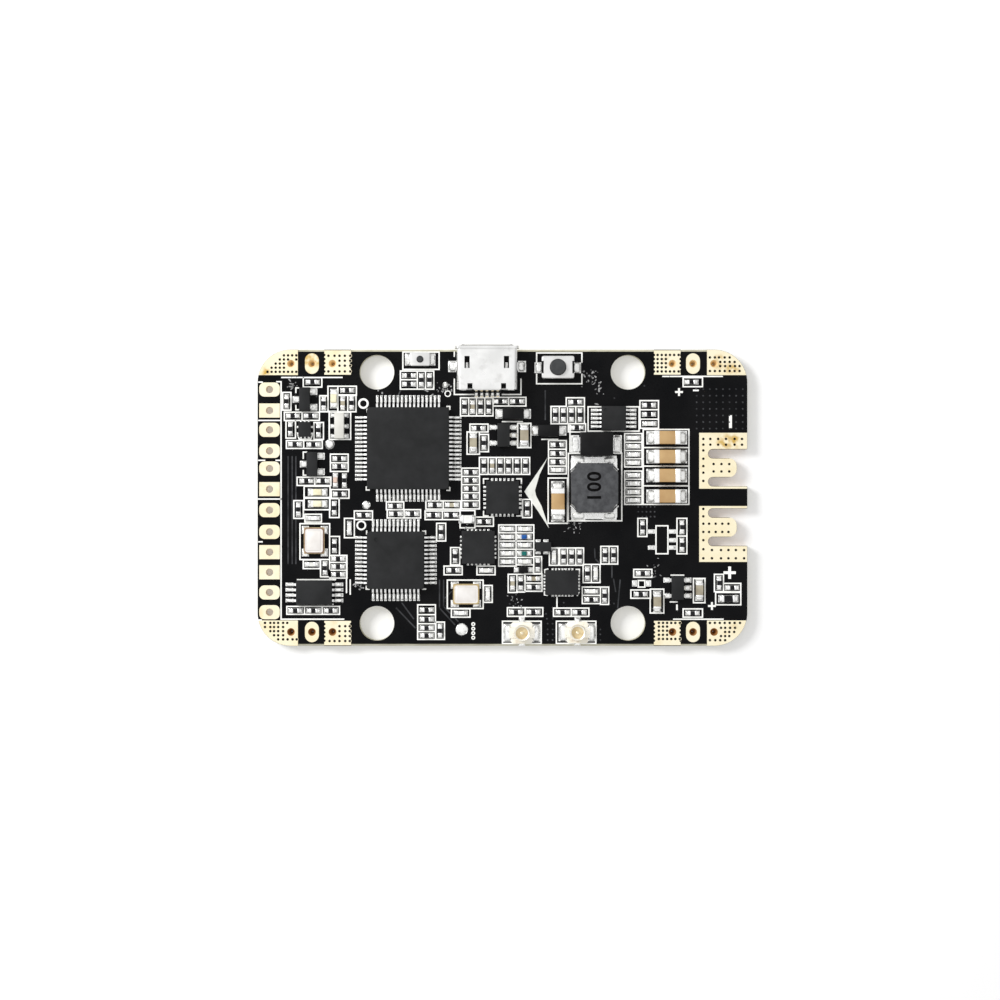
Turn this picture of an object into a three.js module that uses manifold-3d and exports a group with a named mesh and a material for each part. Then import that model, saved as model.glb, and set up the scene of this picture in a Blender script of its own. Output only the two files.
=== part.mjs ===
// Flight controller board for a small multirotor: circuit board, USB socket, two push buttons,
// chips, power parts, crystals, lamps and antenna sockets. Millimetres, +Z up.
// Origin: underside of the board, at the middle of the four mounting holes.
// +X points to the battery pads, +Y to the USB socket.
import * as THREE from 'three';
import { mergeVertices } from 'three/addons/utils/BufferGeometryUtils.js';
import Module from 'manifold-3d';

const wasm = await Module();
wasm.setup();

// ---- driving dimensions ----
const boardLength = 59.5;
const boardWidth = 36;
const boardThickness = 1.6;
const boardCorner = 4;
const mountPitch = 30.5; // mounting hole square
const mountHole = 4.2; // diameter
const solderHole = 0.95; // diameter
const motorHoleX = [20.65, 23.15, 25.7];
const motorHoleY = 16.3;
const headerHoleX = -28.3;
const headerHoleY = [13.15, 10.6, 8.25, 5.7, 3.55, 1.05, -1.5, -4.15, -6.6, -9.05, -11.5, -13.9];
const mountSides = 32;
const smallSides = 12;

// fingers cut into the right edge, between two slots each
const slotWidth = 1.1;
const slotInnerX = 25;
const fingerWidth = 2.3;
const fingerTipX = 28.5;
const fingerCorner = 1;
const notchLowY = [-5.85, 1.4];
const notchHeight = 2 * slotWidth + fingerWidth;

const halfLength = boardLength / 2;
const halfWidth = boardWidth / 2;

// ---- materials ----
const look = (color, roughness, metalness) =>
  new THREE.MeshStandardMaterial({ color, roughness, metalness });
const finish = {
  board: () => look(0x0d0e10, 0.3, 0),
  steel: () => look(0xd9dadb, 0.28, 0.9),
  tin: () => look(0xc9cbcc, 0.35, 0.9),
  gold: () => look(0xe6c673, 0.28, 1),
  epoxy: () => look(0x2a2b2c, 0.6, 0),
  darkPlastic: () => look(0x1d1d1e, 0.5, 0),
  cream: () => look(0xe9dfc4, 0.5, 0),
  ceramic: () => look(0xb98f62, 0.45, 0),
  ferrite: () => look(0x3b3c3d, 0.65, 0),
  crystalBase: () => look(0xb9aa82, 0.5, 0),
  blueLamp: () => look(0x1f5fc0, 0.25, 0),
  greenLamp: () => look(0x0f8f7a, 0.25, 0),
  whiteLamp: () => look(0xf0ead0, 0.3, 0),
};

const group = new THREE.Group();
const deck = new THREE.Group(); // everything soldered on the top face
deck.position.z = boardThickness;
group.add(deck);

function add(parent, name, geometry, material, x = 0, y = 0, turn = 0) {
  const mesh = new THREE.Mesh(geometry, material);
  mesh.name = name;
  mesh.position.set(x, y, 0);
  mesh.rotation.z = turn;
  parent.add(mesh);
  return mesh;
}

// ---- geometry helpers ----
function toSolid(geometry) {
  const bare = geometry.clone();
  bare.deleteAttribute('normal');
  bare.deleteAttribute('uv');
  const merged = mergeVertices(bare, 1e-4);
  return new wasm.Manifold(new wasm.Mesh({
    numProp: 3,
    vertProperties: new Float32Array(merged.attributes.position.array),
    triVerts: new Uint32Array(merged.index.array),
  }));
}

function toGeometry(solid) {
  const mesh = solid.getMesh();
  const geometry = new THREE.BufferGeometry();
  geometry.setAttribute('position', new THREE.BufferAttribute(mesh.vertProperties, 3));
  geometry.setIndex(new THREE.BufferAttribute(mesh.triVerts, 1));
  const faceted = geometry.toNonIndexed();
  faceted.computeVertexNormals();
  return faceted;
}

const join = (...geometries) =>
  toGeometry(geometries.map(toSolid).reduce((whole, piece) => whole.add(piece)));
const cut = (geometry, ...tools) =>
  toGeometry(tools.map(toSolid).reduce((whole, tool) => whole.subtract(tool), toSolid(geometry)));

// box from its low and high corners
function block([x0, y0, z0], [x1, y1, z1]) {
  const box = new THREE.BoxGeometry(x1 - x0, y1 - y0, z1 - z0);
  return box.translate((x0 + x1) / 2, (y0 + y1) / 2, (z0 + z1) / 2);
}

// box centred in X and Y
const slab = (length, width, z0, z1) =>
  block([-length / 2, -width / 2, z0], [length / 2, width / 2, z1]);

// upright disc
function disc(radius, z0, z1, sides = 24) {
  const geometry = new THREE.CylinderGeometry(radius, radius, z1 - z0, sides);
  return geometry.rotateX(Math.PI / 2).translate(0, 0, (z0 + z1) / 2);
}

// lathe about the vertical axis from [radius, height] points
function turned(points, sides = 24) {
  const profile = points.map(([radius, height]) => new THREE.Vector2(radius, height));
  return new THREE.LatheGeometry(profile, sides).rotateX(Math.PI / 2);
}

function rectangle(length, width) {
  const shape = new THREE.Shape();
  shape.moveTo(-length / 2, -width / 2);
  shape.lineTo(length / 2, -width / 2);
  shape.lineTo(length / 2, width / 2);
  shape.lineTo(-length / 2, width / 2);
  shape.closePath();
  return shape;
}

function ringPath(x, y, radius, sides) {
  const points = Array.from({ length: sides }, (_, i) => {
    const angle = (2 * Math.PI * i) / sides;
    return new THREE.Vector2(x + radius * Math.cos(angle), y + radius * Math.sin(angle));
  });
  return new THREE.Path(points);
}

// profile in (sideways, height), extruded to a width that is centred on the axis it crosses
function strip(profile, width) {
  const shape = new THREE.Shape(profile.map(([u, v]) => new THREE.Vector2(u, v)));
  const geometry = new THREE.ExtrudeGeometry(shape, { depth: width, bevelEnabled: false });
  return geometry.translate(0, 0, -width / 2).rotateX(Math.PI / 2);
}

// ---- moulded packages ----
// body that is widest at its parting line and drafted above and below it
function moulding(length, width, height, standoff, draft) {
  const bevel = 0.45 * height;
  const geometry = new THREE.ExtrudeGeometry(rectangle(length - 2 * draft, width - 2 * draft), {
    depth: height - 2 * bevel,
    bevelThickness: bevel,
    bevelSize: draft,
    bevelSegments: 1,
  });
  return geometry.translate(0, 0, standoff + bevel);
}

// gull-wing lead that leaves the package at `edge` and ends at `toe`, pointing along +X
function gullWing({ edge, toe, rise, foot, thick, width }) {
  const knee = edge + 0.3 * (toe - foot - edge);
  return strip([
    [edge - 0.25, rise], [knee, rise], [toe - foot, 0], [toe, 0],
    [toe, thick], [toe - foot + 0.7 * thick, thick],
    [knee + 0.7 * thick, rise + thick], [edge - 0.25, rise + thick],
  ], width);
}

// leads on the sides given by their turn, at the offsets given along each side
function leaded(body, lead, sides) {
  const leads = sides.flatMap(({ turn, offsets }) => offsets.map((offset) =>
    lead.clone().translate(0, offset, 0).rotateZ(turn)));
  return join(body, ...leads);
}

const spread = (count, pitch) =>
  Array.from({ length: count }, (_, i) => (i - (count - 1) / 2) * pitch);
const quarter = Math.PI / 2;
const half = Math.PI;

// ---- circuit board ----
function boardOutline() {
  const outline = new THREE.Path();
  const corner = boardCorner;
  outline.moveTo(-halfLength + corner, -halfWidth);
  outline.absarc(halfLength - corner, -halfWidth + corner, corner, -quarter, 0, false);
  for (const low of notchLowY) {
    const slot = slotWidth / 2;
    const end = slotInnerX + slot;
    const fingerLow = low + slotWidth;
    const fingerHigh = fingerLow + fingerWidth;
    outline.lineTo(halfLength, low);
    outline.absarc(end, low + slot, slot, -quarter, quarter, true);
    outline.absarc(fingerTipX - fingerCorner, fingerLow + fingerCorner, fingerCorner, -quarter, 0, false);
    outline.absarc(fingerTipX - fingerCorner, fingerHigh - fingerCorner, fingerCorner, 0, quarter, false);
    outline.absarc(end, fingerHigh + slot, slot, -quarter, quarter, true);
    outline.lineTo(halfLength, low + notchHeight);
  }
  outline.absarc(halfLength - corner, halfWidth - corner, corner, 0, quarter, false);
  outline.absarc(-halfLength + corner, halfWidth - corner, corner, quarter, half, false);
  outline.absarc(-halfLength + corner, -halfWidth + corner, corner, half, 3 * quarter, false);
  return new THREE.Shape(outline.getPoints(5));
}

function circuitBoard() {
  const shape = boardOutline();
  for (const sx of [-1, 1]) {
    for (const sy of [-1, 1]) {
      shape.holes.push(ringPath(sx * mountPitch / 2, sy * mountPitch / 2, mountHole / 2, mountSides));
      for (const x of motorHoleX) {
        shape.holes.push(ringPath(sx * x, sy * motorHoleY, solderHole / 2, smallSides));
      }
    }
  }
  for (const y of headerHoleY) shape.holes.push(ringPath(headerHoleX, y, solderHole / 2, smallSides));
  return new THREE.ExtrudeGeometry(shape, { depth: boardThickness, bevelEnabled: false });
}
add(group, 'circuit_board', circuitBoard(), finish.board());

// ---- micro USB socket ----
const usb = {
  x: -1.87, rearY: 13.1, mouthY: 18.45, width: 7.3, height: 2.6, bottomWidth: 5.5,
  wall: 0.28, sideHeight: 1.5, lip: 0.25, lipLength: 0.4,
  contactPitch: 0.65, contactWidth: 0.3, contactThick: 0.15, contactZ: 1.5, tailY: 12.25,
};

function usbProfile(inset) {
  const top = usb.width / 2 - inset;
  const bottom = usb.bottomWidth / 2 - 0.6 * inset;
  const ceiling = usb.height - inset;
  const corner = 0.45 - 0.5 * inset;
  return [
    [-bottom, inset], [bottom, inset], [top, usb.height - usb.sideHeight], [top, ceiling - corner],
    [top - 0.3 * corner, ceiling - 0.3 * corner], [top - corner, ceiling], [-top + corner, ceiling],
    [-top + 0.3 * corner, ceiling - 0.3 * corner], [-top, ceiling - corner],
    [-top, usb.height - usb.sideHeight],
  ].map(([u, v]) => new THREE.Vector2(u, v));
}

function usbShell() {
  const shape = new THREE.Shape(usbProfile(0));
  shape.holes.push(new THREE.Path(usbProfile(usb.wall)));
  const depth = usb.mouthY - usb.rearY;
  const tube = new THREE.ExtrudeGeometry(shape, { depth, steps: 2, bevelEnabled: false });
  // the middle ring moves to where the lip starts, and the last ring is flared
  const at = tube.attributes.position;
  const middle = usb.height / 2;
  for (let i = 0; i < at.count; i += 1) {
    const along = at.getZ(i);
    if (Math.abs(along - depth / 2) < 1e-3) at.setZ(i, depth - usb.lipLength);
    if (along > depth - 1e-3) {
      at.setX(i, at.getX(i) * (1 + usb.lip / (usb.width / 2)));
      at.setY(i, middle + (at.getY(i) - middle) * (1 + usb.lip / middle));
    }
  }
  tube.rotateX(quarter).rotateZ(half).translate(0, usb.rearY, 0);
  const latchSlots = [-2.4, 2.35].map((x) => block([x - 0.28, 15.65, 2], [x + 0.28, 17.05, 3]));
  const rearSlots = [-2.05, 2.0].map((x) => block([x - 0.3, 13, 2], [x + 0.3, 13.8, 3]));
  const anchors = [-1, 1].map((side) => block(
    [Math.min(side * 3.5, side * 4.25), 15.4, 1.15], [Math.max(side * 3.5, side * 4.25), 16.4, 1.4]));
  const feet = [-1, 1].map((side) => block(
    [Math.min(side * 4, side * 4.25), 15.4, 0], [Math.max(side * 4, side * 4.25), 16.4, 1.2]));
  return cut(join(tube, ...anchors, ...feet), ...latchSlots, ...rearSlots);
}

function usbTongue() {
  const ceiling = usb.height - usb.wall;
  const innerHalf = 2.6;
  const rear = block([-innerHalf, 13.7, 0.5], [innerHalf, 14.9, ceiling]);
  const gap = usb.contactWidth / 2 + 0.06;
  const ways = spread(5, usb.contactPitch).map((x) =>
    block([x - gap, 13.6, 0.4], [x + gap, 15, usb.contactZ]));
  const tongue = block([-1.85, 14.8, usb.contactZ], [1.85, 17.6, ceiling - 0.25]);
  return join(cut(rear, ...ways), tongue);
}

// tail on the board, riser behind the tongue and blade along the tongue's lower face
function usbContact() {
  const { contactThick: thick, contactZ: top, tailY, rearY } = usb;
  const riser = rearY - 0.05;
  return strip([
    [tailY, 0], [riser, 0], [riser, top - thick], [17.3, top - thick],
    [17.3, top], [riser - thick, top], [riser - thick, thick], [tailY, thick],
  ], usb.contactWidth).rotateZ(quarter);
}
add(deck, 'usb_shell', usbShell(), finish.steel(), usb.x);
add(deck, 'usb_tongue', usbTongue(), finish.darkPlastic(), usb.x);
spread(5, usb.contactPitch).forEach((offset, i) =>
  add(deck, `usb_contact_${i + 1}`, usbContact(), finish.gold(), usb.x + offset));

// ---- push buttons ----
// heights are above the board; every button is a moulded base in a folded metal cover, with a
// snap dome in its well and a flanged plunger held under the cover
const buttons = [
  {
    name: 'bind_button', x: 6.72, y: 15.8, length: 3.95, width: 2.7, sheet: 0.12, flange: 0.3,
    baseTop: 1.1, wellFloor: 0.45, wellRadius: 1.18, coverTop: 1.5, plungerRadius: 0.925,
    plungerFlange: 1.08, flangeLow: 1, flangeHigh: 1.35, plungerTop: 1.95,
    domeRadius: 1.05, domeTop: 0.7, terminal: 0.55, terminalWidth: 1.15,
  },
  {
    name: 'boot_button', x: -10, y: 16.8, length: 2.4, width: 1.6, sheet: 0.08, flange: 0.15,
    baseTop: 0.52, wellFloor: 0.15, wellRadius: 0.62, coverTop: 0.72, plungerRadius: 0.35,
    plungerFlange: 0.54, flangeLow: 0.46, flangeHigh: 0.6, plungerTop: 0.92,
    domeRadius: 0.52, domeTop: 0.27, terminal: 0.4, terminalWidth: 1.2,
  },
];

function buttonBase(b) {
  const skirt = 2 * b.sheet + 0.04;
  const body = join(
    slab(b.length, b.width, 0, b.flange),
    slab(b.length - skirt, b.width - skirt, 0, b.baseTop),
  );
  return cut(body, disc(b.wellRadius, b.wellFloor, b.baseTop + 1));
}

function buttonCover(b) {
  const inside = slab(b.length - 2 * b.sheet, b.width - 2 * b.sheet, b.flange - 1, b.coverTop - b.sheet);
  const hole = disc(b.plungerRadius + 0.08, 0, b.coverTop + 1);
  return cut(slab(b.length, b.width, b.flange, b.coverTop), inside, hole);
}

const buttonPlunger = (b) => turned([
  [0, b.flangeLow], [b.plungerFlange, b.flangeLow], [b.plungerFlange, b.flangeHigh],
  [b.plungerRadius, b.flangeHigh], [b.plungerRadius, b.plungerTop - 0.08],
  [b.plungerRadius - 0.08, b.plungerTop], [0, b.plungerTop],
]);

function buttonDome(b) {
  const sheet = 0.3 * (b.domeTop - b.wellFloor);
  const rise = b.domeTop - b.wellFloor - sheet;
  const arch = [0, 0.35, 0.7, 1].map((t) => [t * b.domeRadius, rise * (1 - t * t)]);
  const inner = arch.map(([r, z]) => [r, b.wellFloor + z]);
  const outer = arch.map(([r, z]) => [r, b.wellFloor + sheet + z]).reverse();
  return turned([...inner, ...outer]);
}

function buttonTerminal(b) {
  const start = b.length / 2;
  return block([start, -b.terminalWidth / 2, 0], [start + b.terminal, b.terminalWidth / 2, 0.14]);
}

for (const b of buttons) {
  add(deck, `${b.name}_base`, buttonBase(b), finish.darkPlastic(), b.x, b.y);
  add(deck, `${b.name}_dome`, buttonDome(b), finish.steel(), b.x, b.y);
  add(deck, `${b.name}_plunger`, buttonPlunger(b), finish.darkPlastic(), b.x, b.y);
  add(deck, `${b.name}_cover`, buttonCover(b), finish.steel(), b.x, b.y);
  [half, 0].forEach((turn, i) =>
    add(deck, `${b.name}_terminal_${i + 1}`, buttonTerminal(b), finish.tin(), b.x, b.y, turn));
}

// ---- processors: square packages with gull-wing leads on four sides ----
const processors = [
  { name: 'main_processor', x: -11.45, y: 6, size: 10, perSide: 16 },
  { name: 'receiver_processor', x: -12.95, y: -7.57, size: 7, perSide: 12 },
];
for (const { name, x, y, size, perSide } of processors) {
  const lead = gullWing({
    edge: size / 2, toe: size / 2 + 1, rise: 0.72, foot: 0.5, thick: 0.13, width: 0.22,
  });
  const sides = [0, quarter, half, 3 * quarter].map((turn) => ({ turn, offsets: spread(perSide, 0.5) }));
  const body = moulding(size, size, 1.4, 0.1, 0.14);
  add(deck, name, leaded(body, lead, sides), finish.epoxy(), x, y);
}

// ---- packages with leads on two sides ----
const twoSided = [
  {
    name: 'step_down_regulator', x: 13.5, y: 9.65, body: [3, 3, 0.9], toe: 2.45, foot: 0.5,
    right: spread(5, 0.5), left: spread(5, 0.5), leadWidth: 0.22,
  },
  {
    name: 'memory_chip', x: -22.85, y: -11.5, body: [4.4, 3, 1], toe: 3.2, foot: 0.55,
    right: spread(4, 0.65), left: spread(4, 0.65), leadWidth: 0.28,
  },
  {
    name: 'transistor_1', x: -24, y: 11.95, body: [1.35, 2.9, 0.95], toe: 1.2, foot: 0.3,
    right: spread(2, 1.9), left: [0], leadWidth: 0.42,
  },
  {
    name: 'transistor_2', x: -23.1, y: 4.1, body: [1.35, 2.9, 0.95], toe: 1.2, foot: 0.3,
    right: spread(2, 1.9), left: [0], leadWidth: 0.42,
  },
  {
    name: 'linear_regulator_1', x: 0.13, y: 7.6, body: [1.55, 2.9, 1.05], toe: 1.4, foot: 0.35,
    right: spread(3, 0.95), left: spread(2, 1.9), leadWidth: 0.4,
  },
  {
    name: 'linear_regulator_2', x: 21.25, y: -10.95, body: [1.55, 2.9, 1.05], toe: 1.4, foot: 0.35,
    right: spread(3, 0.95), left: spread(2, 1.9), leadWidth: 0.4,
  },
];
for (const p of twoSided) {
  const [length, width, height] = p.body;
  const lead = gullWing({
    edge: length / 2, toe: p.toe, rise: 0.45 * height, foot: p.foot, thick: 0.13, width: p.leadWidth,
  });
  const sides = [{ turn: 0, offsets: p.right }, { turn: half, offsets: p.left }];
  const body = moulding(length, width, height, 0.08, 0.1);
  add(deck, p.name, leaded(body, lead, sides), finish.epoxy(), p.x, p.y);
}

// ---- leadless packages: low blocks with a broken top edge ----
function leadless(length, width, height) {
  const bevel = 0.05;
  const geometry = new THREE.ExtrudeGeometry(rectangle(length - 2 * bevel, width - 2 * bevel), {
    depth: height - 2 * bevel, bevelThickness: bevel, bevelSize: bevel, bevelSegments: 1,
  });
  return geometry.translate(0, 0, bevel);
}
const leadlessChips = [
  { name: 'radio_transceiver', x: 0, y: 0.05, size: [4, 4, 0.85] },
  { name: 'motion_sensor', x: -2.95, y: -6, size: [4, 4, 0.9] },
  { name: 'radio_front_end', x: 7.2, y: -10.28, size: [4, 3, 0.85] },
  { name: 'pressure_sensor', x: -24, y: 8.3, size: [1.5, 1.8, 0.75] },
  { name: 'radio_switch', x: 4.95, y: -5.95, size: [1.9, 1.15, 0.8] },
];
for (const { name, x, y, size } of leadlessChips) {
  add(deck, name, leadless(...size), finish.epoxy(), x, y);
}

// ---- diodes: moulded bodies with a flat terminal at each end ----
const diodes = [
  { name: 'schottky_diode', x: 11.4, y: 6.5, body: [4, 2.9, 2.1], span: 5.6, terminal: 1.7 },
  { name: 'diode_1', x: 1.3, y: 10.2, body: [2.6, 1.4, 1.05], span: 3.7, terminal: 0.6 },
  { name: 'diode_2', x: 5.6, y: 8.15, body: [2.6, 1.5, 1.05], span: 3.7, terminal: 0.6 },
  { name: 'diode_3', x: 2.55, y: -8.75, body: [1.15, 0.8, 0.75], span: 1.7, terminal: 0.32 },
];
for (const { name, x, y, body, span, terminal } of diodes) {
  const [length, width, height] = body;
  const core = moulding(length, width, height - 0.05, 0.05, 0.08);
  const feet = slab(span, terminal, 0, 0.18);
  add(deck, name, join(core, feet), finish.epoxy(), x, y);
}

// ---- power inductor: shielded core with chamfered corners, on two end terminals ----
const choke = { x: 11.12, y: 1.2, length: 5.65, width: 5.9, height: 2.8, chamfer: 1.1, foot: 0.85 };

function chokeCore() {
  const { length, width, chamfer } = choke;
  const bevel = 0.12;
  const x = length / 2 - bevel;
  const y = width / 2 - bevel;
  const shape = new THREE.Shape([
    [-x + chamfer, -y], [x - chamfer, -y], [x, -y + chamfer], [x, y - chamfer],
    [x - chamfer, y], [-x + chamfer, y], [-x, y - chamfer], [-x, -y + chamfer],
  ].map(([u, v]) => new THREE.Vector2(u, v)));
  const geometry = new THREE.ExtrudeGeometry(shape, {
    depth: choke.height - 0.15 - 2 * bevel, bevelThickness: bevel, bevelSize: bevel, bevelSegments: 1,
  });
  return geometry.translate(0, 0, 0.15 + bevel);
}

// foot under the core's end that turns up along its outer face
function chokeTerminal() {
  const inner = choke.width / 2;
  return join(
    block([-choke.length / 2, inner - 1.3, 0], [choke.length / 2, inner + choke.foot, 0.15]),
    block([-1.5, inner + 0.02, 0.1], [1.5, inner + 0.17, 1.3]),
  );
}
add(deck, 'inductor_core', chokeCore(), finish.ferrite(), choke.x, choke.y);
[0, half].forEach((turn, i) =>
  add(deck, `inductor_terminal_${i + 1}`, chokeTerminal(), finish.tin(), choke.x, choke.y, turn));

// ---- chip capacitors: ceramic block with a slightly proud cap at each end, along X ----
function chipPart(length, width, height, cap) {
  const proud = 0.03;
  const body = slab(length - 0.2, width - 2 * proud, proud, height - proud);
  const ends = [-1, 1].map((side) => {
    const inner = side * (length / 2 - cap);
    const outer = side * length / 2;
    return block([Math.min(inner, outer), -width / 2, 0], [Math.max(inner, outer), width / 2, height]);
  });
  return join(body, ...ends);
}
const bulkCapacitorY = [7.3, 5, 2.7, 0.2];
bulkCapacitorY.forEach((y, i) =>
  add(deck, `bulk_capacitor_${i + 1}`, chipPart(3.2, 1.65, 1.55, 0.5), finish.ceramic(), 19.95, y));
add(deck, 'filter_capacitor', chipPart(3.2, 1.65, 1.55, 0.5), finish.ceramic(), 6.72, -0.45, quarter);

// ---- crystals and resonator ----
const crystals = [
  { name: 'crystal_1', x: -22.85, y: -5.2, turn: quarter },
  { name: 'crystal_2', x: -4.4, y: -11.7, turn: 0 },
];
for (const { name, x, y, turn } of crystals) {
  add(deck, `${name}_base`, slab(3.2, 2.5, 0, 0.4), finish.crystalBase(), x, y, turn);
  const lid = leadless(2.85, 2.15, 0.35).translate(0, 0, 0.4);
  add(deck, `${name}_lid`, lid, finish.steel(), x, y, turn);
}
add(deck, 'ceramic_resonator', leadless(1.15, 3.1, 0.9), finish.ceramic(), -19.8, 8.75);

// ---- antenna sockets: moulded base, ground ring with two legs, centre pin ----
const socket = {
  base: 2.6, baseHeight: 0.35, ringRadius: 1, ringBore: 0.82, height: 1.25, pinRadius: 0.26,
  strapWidth: 1.3, strapThick: 0.1, legReach: 1.55,
};

function socketRing() {
  const { baseHeight, ringRadius, ringBore, height, strapWidth, strapThick, legReach, base } = socket;
  const strapTop = baseHeight + strapThick;
  const ring = join(
    disc(ringRadius, baseHeight, height, 28),
    disc(ringRadius + 0.05, height - 0.35, height - 0.2, 28),
    slab(2 * legReach, strapWidth, baseHeight, strapTop),
    block([base / 2, -strapWidth / 2, 0], [legReach, strapWidth / 2, strapTop]),
    block([-legReach, -strapWidth / 2, 0], [-base / 2, strapWidth / 2, strapTop]),
  );
  return cut(ring, disc(ringBore, baseHeight - 0.2, height + 1, 28));
}
[[2.35, -16.4], [9.1, -16.35]].forEach(([x, y], i) => {
  const name = `antenna_socket_${i + 1}`;
  add(deck, `${name}_base`, slab(socket.base, socket.base, 0, socket.baseHeight), finish.cream(), x, y);
  add(deck, `${name}_ring`, socketRing(), finish.gold(), x, y);
  const pin = turned([
    [0, socket.baseHeight], [socket.pinRadius, socket.baseHeight], [socket.pinRadius, 1],
    [0.15, 1.12], [0, 1.12],
  ], 16);
  add(deck, `${name}_pin`, pin, finish.gold(), x, y);
});

// ---- indicator lamps: chip substrate with a resin lens ----
const lamps = [
  { name: 'blue_lamp', x: 2.65, y: -4.75, turn: 0, length: 1, width: 0.55, material: finish.blueLamp },
  { name: 'green_lamp', x: 2.65, y: -6.75, turn: 0, length: 1, width: 0.55, material: finish.greenLamp },
  { name: 'power_lamp', x: -20.5, y: 12.05, turn: quarter, length: 1.6, width: 0.8,
    material: finish.whiteLamp },
];
for (const { name, x, y, turn, length, width, material } of lamps) {
  const lens = leadless(0.66 * length, width, 0.3).translate(0, 0, 0.19);
  add(deck, name, join(slab(length, width, 0, 0.2), lens), material(), x, y, turn);
}

export default group;
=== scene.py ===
import math
import random

import bpy
from mathutils import Matrix, Vector


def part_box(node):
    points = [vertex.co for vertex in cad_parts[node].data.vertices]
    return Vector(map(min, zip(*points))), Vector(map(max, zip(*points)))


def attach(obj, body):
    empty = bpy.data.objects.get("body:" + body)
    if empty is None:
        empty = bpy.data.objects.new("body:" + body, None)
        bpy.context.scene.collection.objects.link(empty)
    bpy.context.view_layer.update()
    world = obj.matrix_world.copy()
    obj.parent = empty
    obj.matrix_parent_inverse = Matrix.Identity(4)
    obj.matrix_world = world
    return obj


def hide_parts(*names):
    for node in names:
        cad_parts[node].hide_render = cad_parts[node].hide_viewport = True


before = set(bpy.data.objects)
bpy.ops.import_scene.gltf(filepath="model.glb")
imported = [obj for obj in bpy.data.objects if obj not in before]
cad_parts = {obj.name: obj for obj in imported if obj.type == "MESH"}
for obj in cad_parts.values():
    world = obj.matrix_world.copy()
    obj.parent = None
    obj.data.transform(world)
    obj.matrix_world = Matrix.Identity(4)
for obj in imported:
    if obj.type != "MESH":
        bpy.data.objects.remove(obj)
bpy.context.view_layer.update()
mm = 0.001
quarter = math.pi / 2
boardLow, boardHigh = (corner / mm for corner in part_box("circuit_board"))
deck = boardHigh.z  # top face of the board, in mm
random.seed(7)


# ---------- camera, lights and floor
stage = {
    "cameraSpot": (-0.3, -0.27),  # straight above, mm
    "lens": 85,
    "viewWidth": 121.5,  # mm across the picture at the board
    "keySpot": (-0.3, 0.17, 0.3),
    "keySize": 0.16,
    "keyPower": 1.5,
    "skyStrength": 0.96,
    "horizon": 0.32,  # how bright the sky is near the floor, against 1 overhead
    "floorSize": 3.0,
}


def aimed(obj, target):
    direction = Vector(target) - obj.location
    obj.rotation_euler = direction.to_track_quat("-Z", "Y").to_euler()


def makeStage():
    cameraData = bpy.data.cameras.new("camera")
    camera = bpy.data.objects.new("camera", cameraData)
    bpy.context.collection.objects.link(camera)
    cameraData.lens = stage["lens"]
    cameraData.clip_start = 0.005
    distance = stage["viewWidth"] * mm * stage["lens"] / cameraData.sensor_width
    x, y = stage["cameraSpot"]
    camera.location = (x * mm, y * mm, distance + deck * mm)
    bpy.context.scene.camera = camera

    keyData = bpy.data.lights.new("key", "AREA")
    keyData.size = stage["keySize"]
    keyData.energy = stage["keyPower"]
    key = bpy.data.objects.new("key", keyData)
    bpy.context.collection.objects.link(key)
    key.location = stage["keySpot"]
    aimed(key, (0, 0, 0))

    world = bpy.data.worlds.new("sky")
    world.use_nodes = True
    sky = world.node_tree.nodes["Background"]
    place = addNode(world.node_tree, "ShaderNodeTexCoord")
    parts = addNode(world.node_tree, "ShaderNodeSeparateXYZ")
    rise = addNode(world.node_tree, "ShaderNodeMapRange")
    rise.inputs["To Min"].default_value = stage["horizon"]
    world.node_tree.links.new(place.outputs["Generated"], parts.inputs["Vector"])
    world.node_tree.links.new(parts.outputs["Z"], rise.inputs["Value"])
    world.node_tree.links.new(rise.outputs["Result"], sky.inputs["Color"])
    sky.inputs["Strength"].default_value = stage["skyStrength"]
    bpy.context.scene.world = world
    bpy.context.scene.view_settings.view_transform = "Standard"

    bpy.ops.object.select_all(action="DESELECT")
    bpy.ops.mesh.primitive_plane_add(size=stage["floorSize"])
    floor = bpy.context.object
    floor.name = "floor"
    floor.data.materials.append(floorPaint())


# ---------- node groups shared by the materials
def addNode(tree, kind, **values):
    node = tree.nodes.new(kind)
    for key, value in values.items():
        setattr(node, key, value)
    return node


def newGroup(name, inputs, outputs):
    tree = bpy.data.node_groups.new(name, "ShaderNodeTree")
    for label, socket, value in inputs:
        made = tree.interface.new_socket(label, in_out="INPUT", socket_type=socket)
        if value is not None:
            made.default_value = value
    for label, socket in outputs:
        tree.interface.new_socket(label, in_out="OUTPUT", socket_type=socket)
    return tree, tree.nodes.new("NodeGroupInput"), tree.nodes.new("NodeGroupOutput")


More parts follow.
